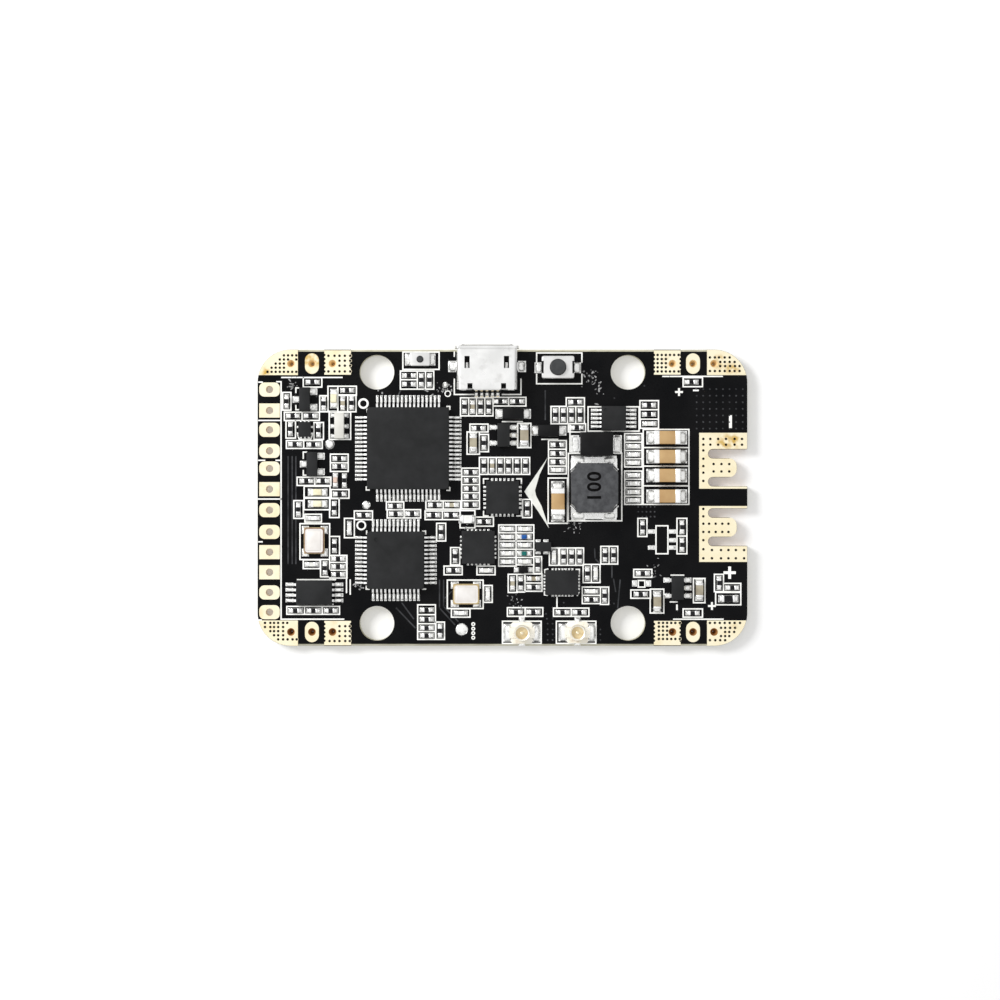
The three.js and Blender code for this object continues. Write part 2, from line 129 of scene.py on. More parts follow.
def makeMottle():
    # two tones of one colour in soft patches
    tree, given, out = newGroup("mottle", [
        ("Vector", "NodeSocketVector", None),
        ("Light Tone", "NodeSocketColor", (0.5, 0.5, 0.5, 1)),
        ("Dark Tone", "NodeSocketColor", (0.3, 0.3, 0.3, 1)),
        ("Patch Scale", "NodeSocketFloat", 400),
        ("Amount", "NodeSocketFloat", 1),
    ], [("Color", "NodeSocketColor"), ("Mask", "NodeSocketFloat")])
    noise = addNode(tree, "ShaderNodeTexNoise")
    noise.inputs["Detail"].default_value = 4
    ramp = addNode(tree, "ShaderNodeMapRange")
    ramp.inputs["From Min"].default_value = 0.35
    ramp.inputs["From Max"].default_value = 0.65
    part = addNode(tree, "ShaderNodeMath", operation="MULTIPLY")
    mix = addNode(tree, "ShaderNodeMix", data_type="RGBA")
    tree.links.new(given.outputs["Vector"], noise.inputs["Vector"])
    tree.links.new(given.outputs["Patch Scale"], noise.inputs["Scale"])
    tree.links.new(noise.outputs["Fac"], ramp.inputs["Value"])
    tree.links.new(ramp.outputs["Result"], part.inputs[0])
    tree.links.new(given.outputs["Amount"], part.inputs[1])
    tree.links.new(part.outputs[0], mix.inputs["Factor"])
    tree.links.new(given.outputs["Light Tone"], mix.inputs["A"])
    tree.links.new(given.outputs["Dark Tone"], mix.inputs["B"])
    tree.links.new(mix.outputs["Result"], out.inputs["Color"])
    tree.links.new(part.outputs[0], out.inputs["Mask"])
    return tree


def makeGrain():
    # fine roughness change and a matching bump
    tree, given, out = newGroup("grain", [
        ("Vector", "NodeSocketVector", None),
        ("Grain Scale", "NodeSocketFloat", 3000),
        ("Smoothest", "NodeSocketFloat", 0.3),
        ("Roughest", "NodeSocketFloat", 0.5),
        ("Bump", "NodeSocketFloat", 0.1),
    ], [("Roughness", "NodeSocketFloat"), ("Normal", "NodeSocketVector")])
    noise = addNode(tree, "ShaderNodeTexNoise")
    noise.inputs["Detail"].default_value = 3
    ramp = addNode(tree, "ShaderNodeMapRange")
    ramp.inputs["From Min"].default_value = 0.3
    ramp.inputs["From Max"].default_value = 0.7
    bump = addNode(tree, "ShaderNodeBump")
    bump.inputs["Distance"].default_value = 0.00002
    tree.links.new(given.outputs["Vector"], noise.inputs["Vector"])
    tree.links.new(given.outputs["Grain Scale"], noise.inputs["Scale"])
    tree.links.new(noise.outputs["Fac"], ramp.inputs["Value"])
    tree.links.new(given.outputs["Smoothest"], ramp.inputs["To Min"])
    tree.links.new(given.outputs["Roughest"], ramp.inputs["To Max"])
    tree.links.new(given.outputs["Bump"], bump.inputs["Strength"])
    tree.links.new(noise.outputs["Fac"], bump.inputs["Height"])
    tree.links.new(ramp.outputs["Result"], out.inputs["Roughness"])
    tree.links.new(bump.outputs["Normal"], out.inputs["Normal"])
    return tree


def makeStain():
    # a few separate spots of another colour over a base colour
    tree, given, out = newGroup("stain", [
        ("Vector", "NodeSocketVector", None),
        ("Base", "NodeSocketColor", (0.8, 0.8, 0.8, 1)),
        ("Stain", "NodeSocketColor", (0.4, 0.3, 0.1, 1)),
        ("Spot Scale", "NodeSocketFloat", 300),
        ("Threshold", "NodeSocketFloat", 0.62),
        ("Strength", "NodeSocketFloat", 0.6),
    ], [("Color", "NodeSocketColor"), ("Mask", "NodeSocketFloat")])
    noise = addNode(tree, "ShaderNodeTexNoise")
    noise.inputs["Detail"].default_value = 5
    noise.inputs["Roughness"].default_value = 0.6
    ramp = addNode(tree, "ShaderNodeMapRange")
    ramp.inputs["From Max"].default_value = 0.8
    part = addNode(tree, "ShaderNodeMath", operation="MULTIPLY")
    mix = addNode(tree, "ShaderNodeMix", data_type="RGBA")
    tree.links.new(given.outputs["Vector"], noise.inputs["Vector"])
    tree.links.new(given.outputs["Spot Scale"], noise.inputs["Scale"])
    tree.links.new(noise.outputs["Fac"], ramp.inputs["Value"])
    tree.links.new(given.outputs["Threshold"], ramp.inputs["From Min"])
    tree.links.new(ramp.outputs["Result"], part.inputs[0])
    tree.links.new(given.outputs["Strength"], part.inputs[1])
    tree.links.new(part.outputs[0], mix.inputs["Factor"])
    tree.links.new(given.outputs["Base"], mix.inputs["A"])
    tree.links.new(given.outputs["Stain"], mix.inputs["B"])
    tree.links.new(mix.outputs["Result"], out.inputs["Color"])
    tree.links.new(part.outputs[0], out.inputs["Mask"])
    return tree


def makeHalo():
    # uneven patch that fades out round one place
    tree, given, out = newGroup("halo", [
        ("Vector", "NodeSocketVector", None),
        ("Centre", "NodeSocketVector", None),
        ("Radius", "NodeSocketFloat", 0.001),
        ("Strength", "NodeSocketFloat", 0.5),
    ], [("Mask", "NodeSocketFloat")])
    reach = addNode(tree, "ShaderNodeVectorMath", operation="DISTANCE")
    fade = addNode(tree, "ShaderNodeMapRange", interpolation_type="SMOOTHSTEP")
    fade.inputs["To Min"].default_value = 1
    fade.inputs["To Max"].default_value = 0
    noise = addNode(tree, "ShaderNodeTexNoise")
    noise.inputs["Scale"].default_value = 1300
    ragged = addNode(tree, "ShaderNodeMapRange")
    ragged.inputs["From Min"].default_value = 0.35
    ragged.inputs["From Max"].default_value = 0.6
    both = addNode(tree, "ShaderNodeMath", operation="MULTIPLY")
    part = addNode(tree, "ShaderNodeMath", operation="MULTIPLY")
    tree.links.new(given.outputs["Vector"], reach.inputs[0])
    tree.links.new(given.outputs["Centre"], reach.inputs[1])
    tree.links.new(reach.outputs["Value"], fade.inputs["Value"])
    tree.links.new(given.outputs["Radius"], fade.inputs["From Max"])
    tree.links.new(given.outputs["Vector"], noise.inputs["Vector"])
    tree.links.new(noise.outputs["Fac"], ragged.inputs["Value"])
    tree.links.new(fade.outputs["Result"], both.inputs[0])
    tree.links.new(ragged.outputs["Result"], both.inputs[1])
    tree.links.new(both.outputs[0], part.inputs[0])
    tree.links.new(given.outputs["Strength"], part.inputs[1])
    tree.links.new(part.outputs[0], out.inputs["Mask"])
    return tree


mottle = makeMottle()
grain = makeGrain()
stain = makeStain()
halo = makeHalo()


# ---------- materials
def useGroup(tree, group, **values):
    node = addNode(tree, "ShaderNodeGroup", node_tree=group)
    for label, value in values.items():
        socket = node.inputs[label.replace("_", " ")]
        socket.default_value = (*value, 1) if isinstance(value, tuple) else value
    return node


def surface(name, light, dark, patch, smooth, rough, grainSize, bump, metal=0.0, specular=0.5,
            spots=None, glow=0.0):
    material = bpy.data.materials.new(name)
    material.use_nodes = True
    tree = material.node_tree
    shader = tree.nodes["Principled BSDF"]
    place = addNode(tree, "ShaderNodeTexCoord")
    tone = useGroup(tree, mottle, Light_Tone=light, Dark_Tone=dark, Patch_Scale=patch)
    finish = useGroup(tree, grain, Grain_Scale=grainSize, Smoothest=smooth, Roughest=rough, Bump=bump)
    for node in (tone, finish):
        tree.links.new(place.outputs["Object"], node.inputs["Vector"])
    colour = tone.outputs["Color"]
    if spots:
        mark = useGroup(tree, stain, **spots)
        tree.links.new(place.outputs["Object"], mark.inputs["Vector"])
        tree.links.new(colour, mark.inputs["Base"])
        colour = mark.outputs["Color"]
    tree.links.new(colour, shader.inputs["Base Color"])
    tree.links.new(finish.outputs["Roughness"], shader.inputs["Roughness"])
    tree.links.new(finish.outputs["Normal"], shader.inputs["Normal"])
    shader.inputs["Metallic"].default_value = metal
    shader.inputs["Specular IOR Level"].default_value = specular
    if glow:
        tree.links.new(colour, shader.inputs["Emission Color"])
        shader.inputs["Emission Strength"].default_value = glow
    return material


def floorPaint():
    # a lit table, so it glows a little by itself
    return surface("floorPaint", (0.8, 0.8, 0.8), (0.78, 0.78, 0.78), 20, 0.7, 0.8, 400, 0.0,
                   specular=0.1, glow=0.22)


def laminateLayers():
    # glass-fibre layers seen at the board's cut edges
    material = surface("laminate", (0.62, 0.6, 0.47), (0.46, 0.44, 0.32), 700, 0.5, 0.7, 4000, 0.3)
    tree = material.node_tree
    place = tree.nodes["Texture Coordinate"]
    bands = addNode(tree, "ShaderNodeTexWave", bands_direction="Z")
    bands.inputs["Scale"].default_value = 900
    bands.inputs["Distortion"].default_value = 2.5
    bands.inputs["Detail"].default_value = 2
    mix = addNode(tree, "ShaderNodeMix", data_type="RGBA", blend_type="MULTIPLY")
    shade = addNode(tree, "ShaderNodeMapRange")
    shade.inputs["To Min"].default_value = 0.05
    shade.inputs["To Max"].default_value = 0.35
    mix.inputs["B"].default_value = (0.62, 0.56, 0.4, 1)
    shader = tree.nodes["Principled BSDF"]
    colour = shader.inputs["Base Color"].links[0].from_socket
    tree.links.new(place.outputs["Object"], bands.inputs["Vector"])
    tree.links.new(bands.outputs["Fac"], shade.inputs["Value"])
    tree.links.new(shade.outputs["Result"], mix.inputs["Factor"])
    tree.links.new(colour, mix.inputs["A"])
    tree.links.new(mix.outputs["Result"], shader.inputs["Base Color"])
    return material


tarnish = [  # centre in mm, radius in mm, strength
    ((-23.2, 17.45), 1.6, 1.0), ((-22.45, 16.6), 1.1, 0.9), ((-23.95, 16.7), 1.0, 0.9),
    ((27.2, 6.9), 1.5, 1.0), ((28.1, 6.6), 1.1, 1.0), ((26.6, 6.55), 0.9, 0.8),
    ((28.3, 7.2), 0.8, 0.9), ((27.65, 15.75), 1.0, 1.0), ((26.3, 17.0), 0.8, 0.9),
    ((26.3, 16.1), 0.9, 0.8), ((28.3, 15.5), 0.8, 0.8), ((-28.7, 15.15), 1.1, 1.0),
    ((-23.9, 15.4), 0.9, 0.6), ((20.0, 16.6), 0.9, 0.4), ((28.1, -15.5), 1.0, 0.3),
]


def tarnishedGold():
    material = surface("immersionGold", (0.975, 0.9, 0.68), (0.94, 0.84, 0.58), 350, 0.3, 0.45, 2500, 0.06,
                       metal=0.55, spots={"Stain": (0.8, 0.6, 0.26), "Spot_Scale": 420,
                                          "Threshold": 0.57, "Strength": 0.6})
    tree = material.node_tree
    shader = tree.nodes["Principled BSDF"]
    place = tree.nodes["Texture Coordinate"]
    colour = shader.inputs["Base Color"].links[0].from_socket
    for (x, y), radius, strength in tarnish:
        ring = useGroup(tree, halo, Radius=radius * mm, Strength=strength)
        ring.inputs["Centre"].default_value = (x * mm, y * mm, deck * mm)
        mix = addNode(tree, "ShaderNodeMix", data_type="RGBA")
        mix.inputs["B"].default_value = (0.62, 0.38, 0.05, 1)
        tree.links.new(place.outputs["Object"], ring.inputs["Vector"])
        tree.links.new(ring.outputs["Mask"], mix.inputs["Factor"])
        tree.links.new(colour, mix.inputs["A"])
        colour = mix.outputs["Result"]
    tree.links.new(colour, shader.inputs["Base Color"])
    return material


paint = {
    "mask": surface("solderMask", (0.0022, 0.0024, 0.003), (0.005, 0.005, 0.0055), 260, 0.22, 0.36,
                    2600, 0.05, specular=0.07),
    "traceMask": surface("maskOverCopper", (0.05, 0.052, 0.056), (0.012, 0.013, 0.015), 800, 0.25, 0.4,
                         3000, 0.08, specular=0.25),
    "laminate": laminateLayers(),
    "gold": tarnishedGold(),
    "barrel": surface("platedBarrel", (0.97, 0.88, 0.72), (0.9, 0.76, 0.55), 700, 0.3, 0.45, 3000, 0.1,
                      metal=0.7),
    # brown funnel colours for the motor wire holes: painted shade, lighter for the upper holes and darker
    # for the lower ones
    "paleHoleShade": surface("paleHoleShade", (0.95, 0.76, 0.46), (0.8, 0.6, 0.32), 900, 0.5, 0.65, 3000, 0.2,
                           specular=0.2),
    "deepHoleShade": surface("deepHoleShade", (0.5, 0.25, 0.09), (0.34, 0.16, 0.055), 900, 0.5, 0.65, 3000, 0.2,
                          specular=0.1),
    "slotPlating": surface("slotPlating", (0.62, 0.42, 0.2), (0.42, 0.26, 0.11), 700, 0.35, 0.5, 3000, 0.1,
                           metal=0.5),
    # near-black colour for the discs in the via rings: painted shade for the via holes
    "viaHoleShade": surface("viaHoleShade", (0.006, 0.005, 0.004), (0.02, 0.013, 0.008), 2000, 0.5, 0.7, 4000, 0.1,
                       specular=0.1),
    "ink": surface("whiteInk", (1.0, 1.0, 0.97), (0.88, 0.88, 0.84), 900, 0.55, 0.7, 6000, 0.25),
    "inkFill": surface("filledInk", (0.8, 0.81, 0.76), (0.7, 0.71, 0.66), 900, 0.55, 0.7, 6000, 0.25,
                       spots={"Stain": (0.35, 0.35, 0.3), "Spot_Scale": 1300, "Threshold": 0.66,
                              "Strength": 0.7}),
    "solder": surface("solder", (1.0, 1.0, 0.98), (0.92, 0.92, 0.9), 1500, 0.16, 0.3, 2500, 0.3,
                      metal=0.6, spots={"Stain": (0.06, 0.06, 0.06), "Spot_Scale": 1900,
                                        "Threshold": 0.55, "Strength": 0.95}),
    "tin": surface("tinnedLeads", (1.0, 1.0, 0.99), (0.92, 0.92, 0.91), 1800, 0.22, 0.38, 4000, 0.12,
                   metal=0.6),
    "epoxy": surface("chipEpoxy", (0.023, 0.0235, 0.0245), (0.016, 0.0165, 0.017), 500, 0.5, 0.68, 9000,
                     0.35, specular=0.14),
    "epoxyBlack": surface("diodeEpoxy", (0.009, 0.009, 0.0095), (0.005, 0.005, 0.0055), 600, 0.45, 0.6,
                          8000, 0.3, specular=0.12),
    "chipBlack": surface("resistorGlass", (0.004, 0.004, 0.005), (0.012, 0.012, 0.014), 900, 0.2, 0.4,
                         5000, 0.1, specular=0.2),
    "capTan": surface("capacitorCeramic", (0.54, 0.36, 0.17), (0.44, 0.27, 0.12), 450, 0.4, 0.55, 6000, 0.2,
                      specular=0.25),
    "capGrey": surface("capacitorGrey", (0.42, 0.38, 0.28), (0.28, 0.24, 0.17), 700, 0.4, 0.55, 6000, 0.2),
    "capWhite": surface("coilCeramic", (0.88, 0.88, 0.85), (0.74, 0.74, 0.7), 1200, 0.35, 0.5, 6000, 0.15),
    "ferrite": surface("ferrite", (0.083, 0.085, 0.09), (0.05, 0.051, 0.055), 1500, 0.5, 0.7, 5000, 0.5,
                       specular=0.2),
    "ferriteMark": surface("ferriteMark", (0.002, 0.002, 0.002), (0.006, 0.006, 0.006), 2500, 0.6, 0.8,
                           5000, 0.3, specular=0.03),
    "shell": surface("shellSteel", (0.93, 0.93, 0.92), (0.8, 0.8, 0.79), 420, 0.26, 0.4, 1500, 0.08,
                     metal=0.9, spots={"Stain": (0.4, 0.39, 0.37), "Spot_Scale": 520,
                                       "Threshold": 0.58, "Strength": 0.55}),
    "shellShade": surface("shellShade", (0.17, 0.15, 0.125), (0.1, 0.09, 0.075), 900, 0.6, 0.75, 2500, 0.1),
    "cover": surface("buttonCover", (0.82, 0.82, 0.81), (0.7, 0.7, 0.69), 600, 0.3, 0.45, 3500, 0.12,
                     metal=0.7),
    "plunger": surface("plungerPlastic", (0.06, 0.063, 0.065), (0.04, 0.043, 0.045), 900, 0.35, 0.5,
                       5000, 0.2, specular=0.2),
    "darkPlastic": surface("darkPlastic", (0.02, 0.02, 0.021), (0.012, 0.012, 0.013), 700, 0.4, 0.55,
                           5000, 0.2),
    "cream": surface("socketPlastic", (0.96, 0.93, 0.84), (0.9, 0.84, 0.7), 800, 0.4, 0.55, 5000, 0.15,
                     spots={"Stain": (0.4, 0.22, 0.12), "Spot_Scale": 800, "Threshold": 0.6,
                            "Strength": 0.8}),
    "socketPale": surface("socketPale", (0.99, 0.96, 0.87), (0.95, 0.9, 0.77), 800, 0.25, 0.4, 3500, 0.08,
                          metal=0.6, spots={"Stain": (0.5, 0.3, 0.16), "Spot_Scale": 800,
                                            "Threshold": 0.6, "Strength": 0.7}),
    # tan gold for the socket's bowl and pin seat: its darkening is painted shade at the bottom of the cup
    "socketTanAndShade": surface("socketTanAndShade", (0.9, 0.76, 0.48), (0.72, 0.56, 0.3), 900, 0.3, 0.45, 3500, 0.08,
                         metal=0.5),
    "socketGold": surface("socketGold", (0.97, 0.89, 0.69), (0.9, 0.76, 0.5), 900, 0.22, 0.36, 3500, 0.08,
                          metal=0.85, spots={"Stain": (0.5, 0.3, 0.14), "Spot_Scale": 900,
                                             "Threshold": 0.62, "Strength": 0.7}),
    "crystalBase": surface("crystalCeramic", (0.55, 0.44, 0.24), (0.4, 0.3, 0.16), 900, 0.4, 0.6,
                           5000, 0.2),
    "crystalLid": surface("crystalLid", (0.9, 0.87, 0.84), (0.82, 0.78, 0.74), 700, 0.3, 0.42, 2500, 0.08,
                          metal=0.7),
    "crystalRim": surface("crystalRim", (0.85, 0.68, 0.36), (0.7, 0.52, 0.26), 900, 0.25, 0.4, 3000, 0.1,
                          metal=0.85),
    "crystalBrown": surface("crystalBrown", (0.42, 0.25, 0.18), (0.26, 0.14, 0.1), 900, 0.25, 0.4,
                            3000, 0.1, metal=0.6),
    "resonator": surface("resonatorCase", (0.72, 0.71, 0.66), (0.6, 0.59, 0.54), 500, 0.45, 0.6, 5000, 0.2),
    "lampBlue": surface("blueResin", (0.004, 0.1, 0.38), (0.003, 0.05, 0.24), 900, 0.15, 0.3, 3000, 0.05,
                        specular=0.3),
    "lampTeal": surface("tealResin", (0.0, 0.16, 0.14), (0.0, 0.09, 0.08), 900, 0.15, 0.3, 3000, 0.05,
                        specular=0.3),
    "lampPale": surface("paleResin", (0.9, 0.86, 0.66), (0.8, 0.74, 0.5), 1100, 0.2, 0.35, 3000, 0.1),
    "lampPink": surface("pinkResin", (0.78, 0.6, 0.5), (0.62, 0.44, 0.36), 1100, 0.25, 0.4, 3000, 0.1),
    "flux": surface("fluxResidue", (0.4, 0.4, 0.4), (0.12, 0.12, 0.12), 1400, 0.15, 0.35, 3000, 0.1),
    "dome": surface("domeSteel", (0.8, 0.8, 0.8), (0.66, 0.66, 0.66), 900, 0.2, 0.34, 3000, 0.08,
                    metal=0.95),
}
print("materials ready")
makeStage()


# ---------- modelling helpers; sizes and places are in millimetres
def pick(*pieces):
    if bpy.context.object and bpy.context.object.mode != "OBJECT":
        bpy.ops.object.mode_set(mode="OBJECT")
    bpy.ops.object.select_all(action="DESELECT")
    for piece in pieces:
        piece.select_set(True)
    bpy.context.view_layer.objects.active = pieces[0]


def placed(name):
    piece = bpy.context.object
    piece.name = name
    bpy.ops.object.transform_apply(location=True, rotation=True, scale=True)
    return piece


def block(name, low, high):
    bpy.ops.object.select_all(action="DESELECT")
    middle = [(a + b) / 2 * mm for a, b in zip(low, high)]
    size = [b - a for a, b in zip(low, high)]
    bpy.ops.mesh.primitive_cube_add(size=mm, location=middle, scale=size)
    return placed(name)


def drum(name, x, y, radius, low, high, sides=32):
    bpy.ops.object.select_all(action="DESELECT")
    bpy.ops.mesh.primitive_cylinder_add(
        vertices=sides, radius=radius * mm, depth=(high - low) * mm,
        location=(x * mm, y * mm, (low + high) / 2 * mm))
    return placed(name)


def useModifier(piece, kind, **values):
    pick(piece)
    modifier = piece.modifiers.new(kind.lower(), kind)
    for key, value in values.items():
        setattr(modifier, key, value)
    bpy.ops.object.modifier_apply(modifier=modifier.name)
    return piece


def soften(piece, width, segments=2, angle=30):
    useModifier(piece, "BEVEL", width=width * mm, segments=segments, limit_method="ANGLE",
                angle_limit=math.radians(angle), harden_normals=False)
    bpy.ops.object.shade_smooth_by_angle(angle=math.radians(35))
    return piece


def carve(piece, tool, how="DIFFERENCE"):
    useModifier(piece, "BOOLEAN", object=tool, operation=how, solver="EXACT")
    bpy.data.objects.remove(tool)
    return piece


def startEdit(piece, kind):
    pick(piece)
    bpy.ops.object.mode_set(mode="EDIT")
    bpy.ops.mesh.select_mode(type=kind)
    bpy.ops.mesh.select_all(action="DESELECT")
    bpy.ops.object.mode_set(mode="OBJECT")


def editFaces(piece, wanted):
    startEdit(piece, "FACE")
    for face in piece.data.polygons:
        face.select = wanted(face.center / mm, face.normal)
    bpy.ops.object.mode_set(mode="EDIT")


def editEdges(piece, wanted):
    startEdit(piece, "EDGE")
    points = piece.data.vertices
    for edge in piece.data.edges:
        edge.select = wanted(*(points[i].co / mm for i in edge.vertices))
    bpy.ops.object.mode_set(mode="EDIT")


def endEdit():
    bpy.ops.object.mode_set(mode="OBJECT")


def stretchPicked(factors, centre):
    bpy.ops.transform.resize(value=factors, center_override=[c * mm for c in centre])


def copyOf(master, x=0.0, y=0.0, z=0.0, turn=0.0, size=(1, 1, 1)):
    twin = bpy.data.objects.new(master.name, master.data.copy())
    bpy.context.collection.objects.link(twin)
    move = Matrix.Translation((x * mm, y * mm, z * mm))
    twin.data.transform(move @ Matrix.Rotation(turn, 4, "Z") @ Matrix.Diagonal((*size, 1)))
    return twin


def joined(name, pieces):
    pick(*pieces)
    if len(pieces) > 1:
        bpy.ops.object.join()
    whole = bpy.context.object
    whole.name = name
    return whole


def discard(*masters):
    for master in masters:
        bpy.data.objects.remove(master)


def done(piece, material, slotName, *nodes, body="board"):
    if material is not None:
        piece.data.materials.clear()
        piece.data.materials.append(material)
    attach(piece, body)
    if nodes:
        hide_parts(*nodes)
    return piece


def middleOf(node):
    low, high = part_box(node)
    return (low + high) / 2 / mm


def repaint(node, material):
    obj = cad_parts[node]
    obj.data.materials.clear()
    obj.data.materials.append(material)


# ---------- circuit board
board = {
    "corner": 4.0,
    "underCopper": 0.03,  # the copper pads under the board reach the very bottom
    "mountPitch": 30.5,
    "mountHole": 4.2,
    "solderHole": 0.95,
    "motorHoleX": (20.65, 23.15, 25.7),
    "motorHoleY": 16.3,
    "headerX": -28.3,
    "headerY": (13.15, 10.6, 8.25, 5.7, 3.55, 1.05, -1.5, -4.15, -6.6, -9.05, -11.5, -13.9),
    "squarePads": (10.6, 1.05, -6.6, -9.05),
    "slotY": (5.35, 1.95, -1.85, -5.3),
    "slotWidth": 1.1,
    "slotInnerX": 25.0,
    "fingerTipX": 28.5,
    "fingerCorner": 1.0,
    "scoreSpans": ((-24.85, -21.65), (-18.4, 18.4), (21.65, 24.85)),
    "scoreWidth": 0.24,
    "scoreDepth": 0.4,
    "pad": 0.035,  # how far the copper stands above the board
}
mountSpots = [(x, y) for x in (-board["mountPitch"] / 2, board["mountPitch"] / 2)
              for y in (-board["mountPitch"] / 2, board["mountPitch"] / 2)]
motorSpots = [(sx * x, sy * board["motorHoleY"]) for sx in (-1, 1) for sy in (-1, 1)
              for x in board["motorHoleX"]]
headerSpots = [(board["headerX"], y) for y in board["headerY"]]
edgeX = boardHigh.x
edgeY = boardHigh.y


def roundUprights(piece, radius, segments, wanted):
    editEdges(piece, lambda a, b: abs(a.z - b.z) > 0.01 and abs(a.x - b.x) < 0.01
              and abs(a.y - b.y) < 0.01 and wanted(a))
    bpy.ops.mesh.bevel(offset=radius * mm, segments=segments, affect="EDGES")
    endEdit()
    return piece


def boardSlab(name, low, high, inset=0.0):
    slab = block(name, (-edgeX + inset, -edgeY + inset, low), (edgeX - inset, edgeY - inset, high))
    return roundUprights(slab, board["corner"] - inset, 16, lambda a: True)


def notchCutter(upperY, lowerY, grow=0.0):
    # two round-ended slots joined in front of a short finger
    half = board["slotWidth"] / 2 + grow
    slots = []
    for y in (upperY, lowerY):
        slot = block("slot", (board["slotInnerX"] - grow, y - half, -1), (edgeX + 2, y + half, 3))
        roundUprights(slot, half * 0.999, 8, lambda a: a.x < 26)
        slots.append(slot)
    front = block("front", (26.5, lowerY, -1), (edgeX + 2, upperY, 3))
    gap = board["slotWidth"] / 2 - grow
    finger = block("finger", (26, lowerY + gap, -2), (board["fingerTipX"] - grow, upperY - gap, 4))
    roundUprights(finger, board["fingerCorner"], 6, lambda a: a.x > 27)
    carve(front, finger)
    return carve(carve(slots[0], slots[1], "UNION"), front, "UNION")


def cutNotches(piece, grow=0.0):
    y = board["slotY"]
    carve(piece, notchCutter(y[0], y[1], grow))
    return carve(piece, notchCutter(y[2], y[3], grow))


def drillHoles(piece, spots, diameter, sides):
    drills = [drum("drill", x, y, diameter / 2, -1, 3, sides) for x, y in spots]
    return carve(piece, joined("drills", drills))


def scoreCutter(side, start, end):
    # tilted prism that leaves the slanted face of a snapped V-score
    width, depth = board["scoreWidth"], board["scoreDepth"]
    low = min(side * (edgeY - width), side * (edgeY + width))
    high = max(side * (edgeY - width), side * (edgeY + width))
    prism = block("score", (start, low, deck - 2 * depth), (end, high, deck + 2 * depth))
    for point in prism.data.vertices:
        if point.co.z < deck * mm:
            near = side * point.co.y / mm < edgeY
            point.co.z = (deck if near else deck - 2 * depth) * mm
    return prism


def makeBoard():
    core = boardSlab("circuitBoard", board["underCopper"], deck)
    drillHoles(core, mountSpots, board["mountHole"], 64)
    drillHoles(core, motorSpots + headerSpots, board["solderHole"], 24)
    cutNotches(core)
    for side in (-1, 1):
        for start, end in board["scoreSpans"]:
            carve(core, scoreCutter(side, start, end))
    core.data.materials.clear()
    core.data.materials.append(paint["mask"])
    core.data.materials.append(paint["laminate"])
    core.data.materials.append(paint["slotPlating"])
    for face in core.data.polygons:
        middle = face.center / mm
        slotted = board["slotInnerX"] - 0.1 < middle.x < edgeX - 0.01
        plated = slotted and 1.1 < abs(middle.y) < 7.9
        face.material_index = 0 if abs(face.normal.z) > 0.95 else 2 if plated else 1
    pick(core)
    bpy.ops.object.shade_smooth_by_angle(angle=math.radians(35))
    done(core, None, "board", "circuit_board")
    return core


makeBoard()
print("board ready")


# ---------- gold pads, plated holes and vias
cornerVias = [
    (17.3, (-26.55, -26.05, -25.55, -25.05)), (16.8, (-27.05, -26.55, -26.05, -25.05)),
    (16.3, (-27.55, -27.05, -26.55)), (15.8, (-28.05, -27.55, -27.05, -26.55)),
    (15.3, (-28.55, -28.05, -27.55, -27.05, -26.55, -26.05, -25.55, -25.05)),
    (17.25, (-21.15, -20.4, -19.8, -19.15, -18.5)), (16.65, (-19.8, -19.15, -18.5)),
    (16.05, (-19.8, -19.15, -18.5)), (15.35, (-21.15, -20.4, -19.8, -19.15, -18.5)),
    (17.35, (18.85, 19.35, 19.85, 20.35, 20.85, 21.4)), (16.85, (18.85, 19.35, 19.85)),
    (16.35, (18.85, 19.35, 19.85)), (15.85, (18.85, 19.35, 19.85)),
    (15.35, (18.85, 19.35, 19.85, 20.35, 20.85, 21.4)),
    (17.05, (25.2, 25.8, 26.3, 27.0, 27.6)), (16.5, (26.45, 27.0, 27.6, 28.2)),
    (16.0, (26.45, 27.05, 27.65, 28.25, 28.8)), (15.4, (25.2, 25.8, 26.4, 27.0, 27.6, 28.2, 28.8)),
    (-15.2, (19.0, 19.5, 20.0, 20.5, 21.0, 21.55)), (-15.65, (19.0, 19.5, 20.0)),
    (-16.15, (19.0, 19.5, 20.0)), (-16.65, (19.0, 19.5, 20.0)),
    (-17.15, (19.0, 19.5, 20.0, 20.5, 21.0, 21.55)),
    (-15.2, (25.2, 25.8, 26.4, 27.0, 27.6, 28.2, 28.85)), (-15.8, (26.55, 27.05, 27.65, 28.25)),
    (-16.3, (27.05, 27.55, 28.15)), (-16.8, (26.55, 27.05, 27.55)),
    (-17.3, (25.2, 25.85, 26.45, 27.05)),
    (-15.2, (-28.85, -28.2, -27.75, -27.25, -26.65, -26.15)),
    (-15.7, (-28.85, -28.2, -27.75, -27.25, -26.65)), (-16.2, (-28.2, -27.75, -27.25, -26.65)),
    (-16.7, (-27.75, -27.25, -26.65)), (-17.2, (-27.25, -26.65, -26.1, -25.5, -25.0)),
    (-15.6, (-19.8, -19.1, -18.55)), (-16.2, (-19.8, -19.1, -18.55)),
    (-16.8, (-19.8, -19.1, -18.55)), (-17.4, (-21.0, -20.4, -19.8, -19.1, -18.55)),
]
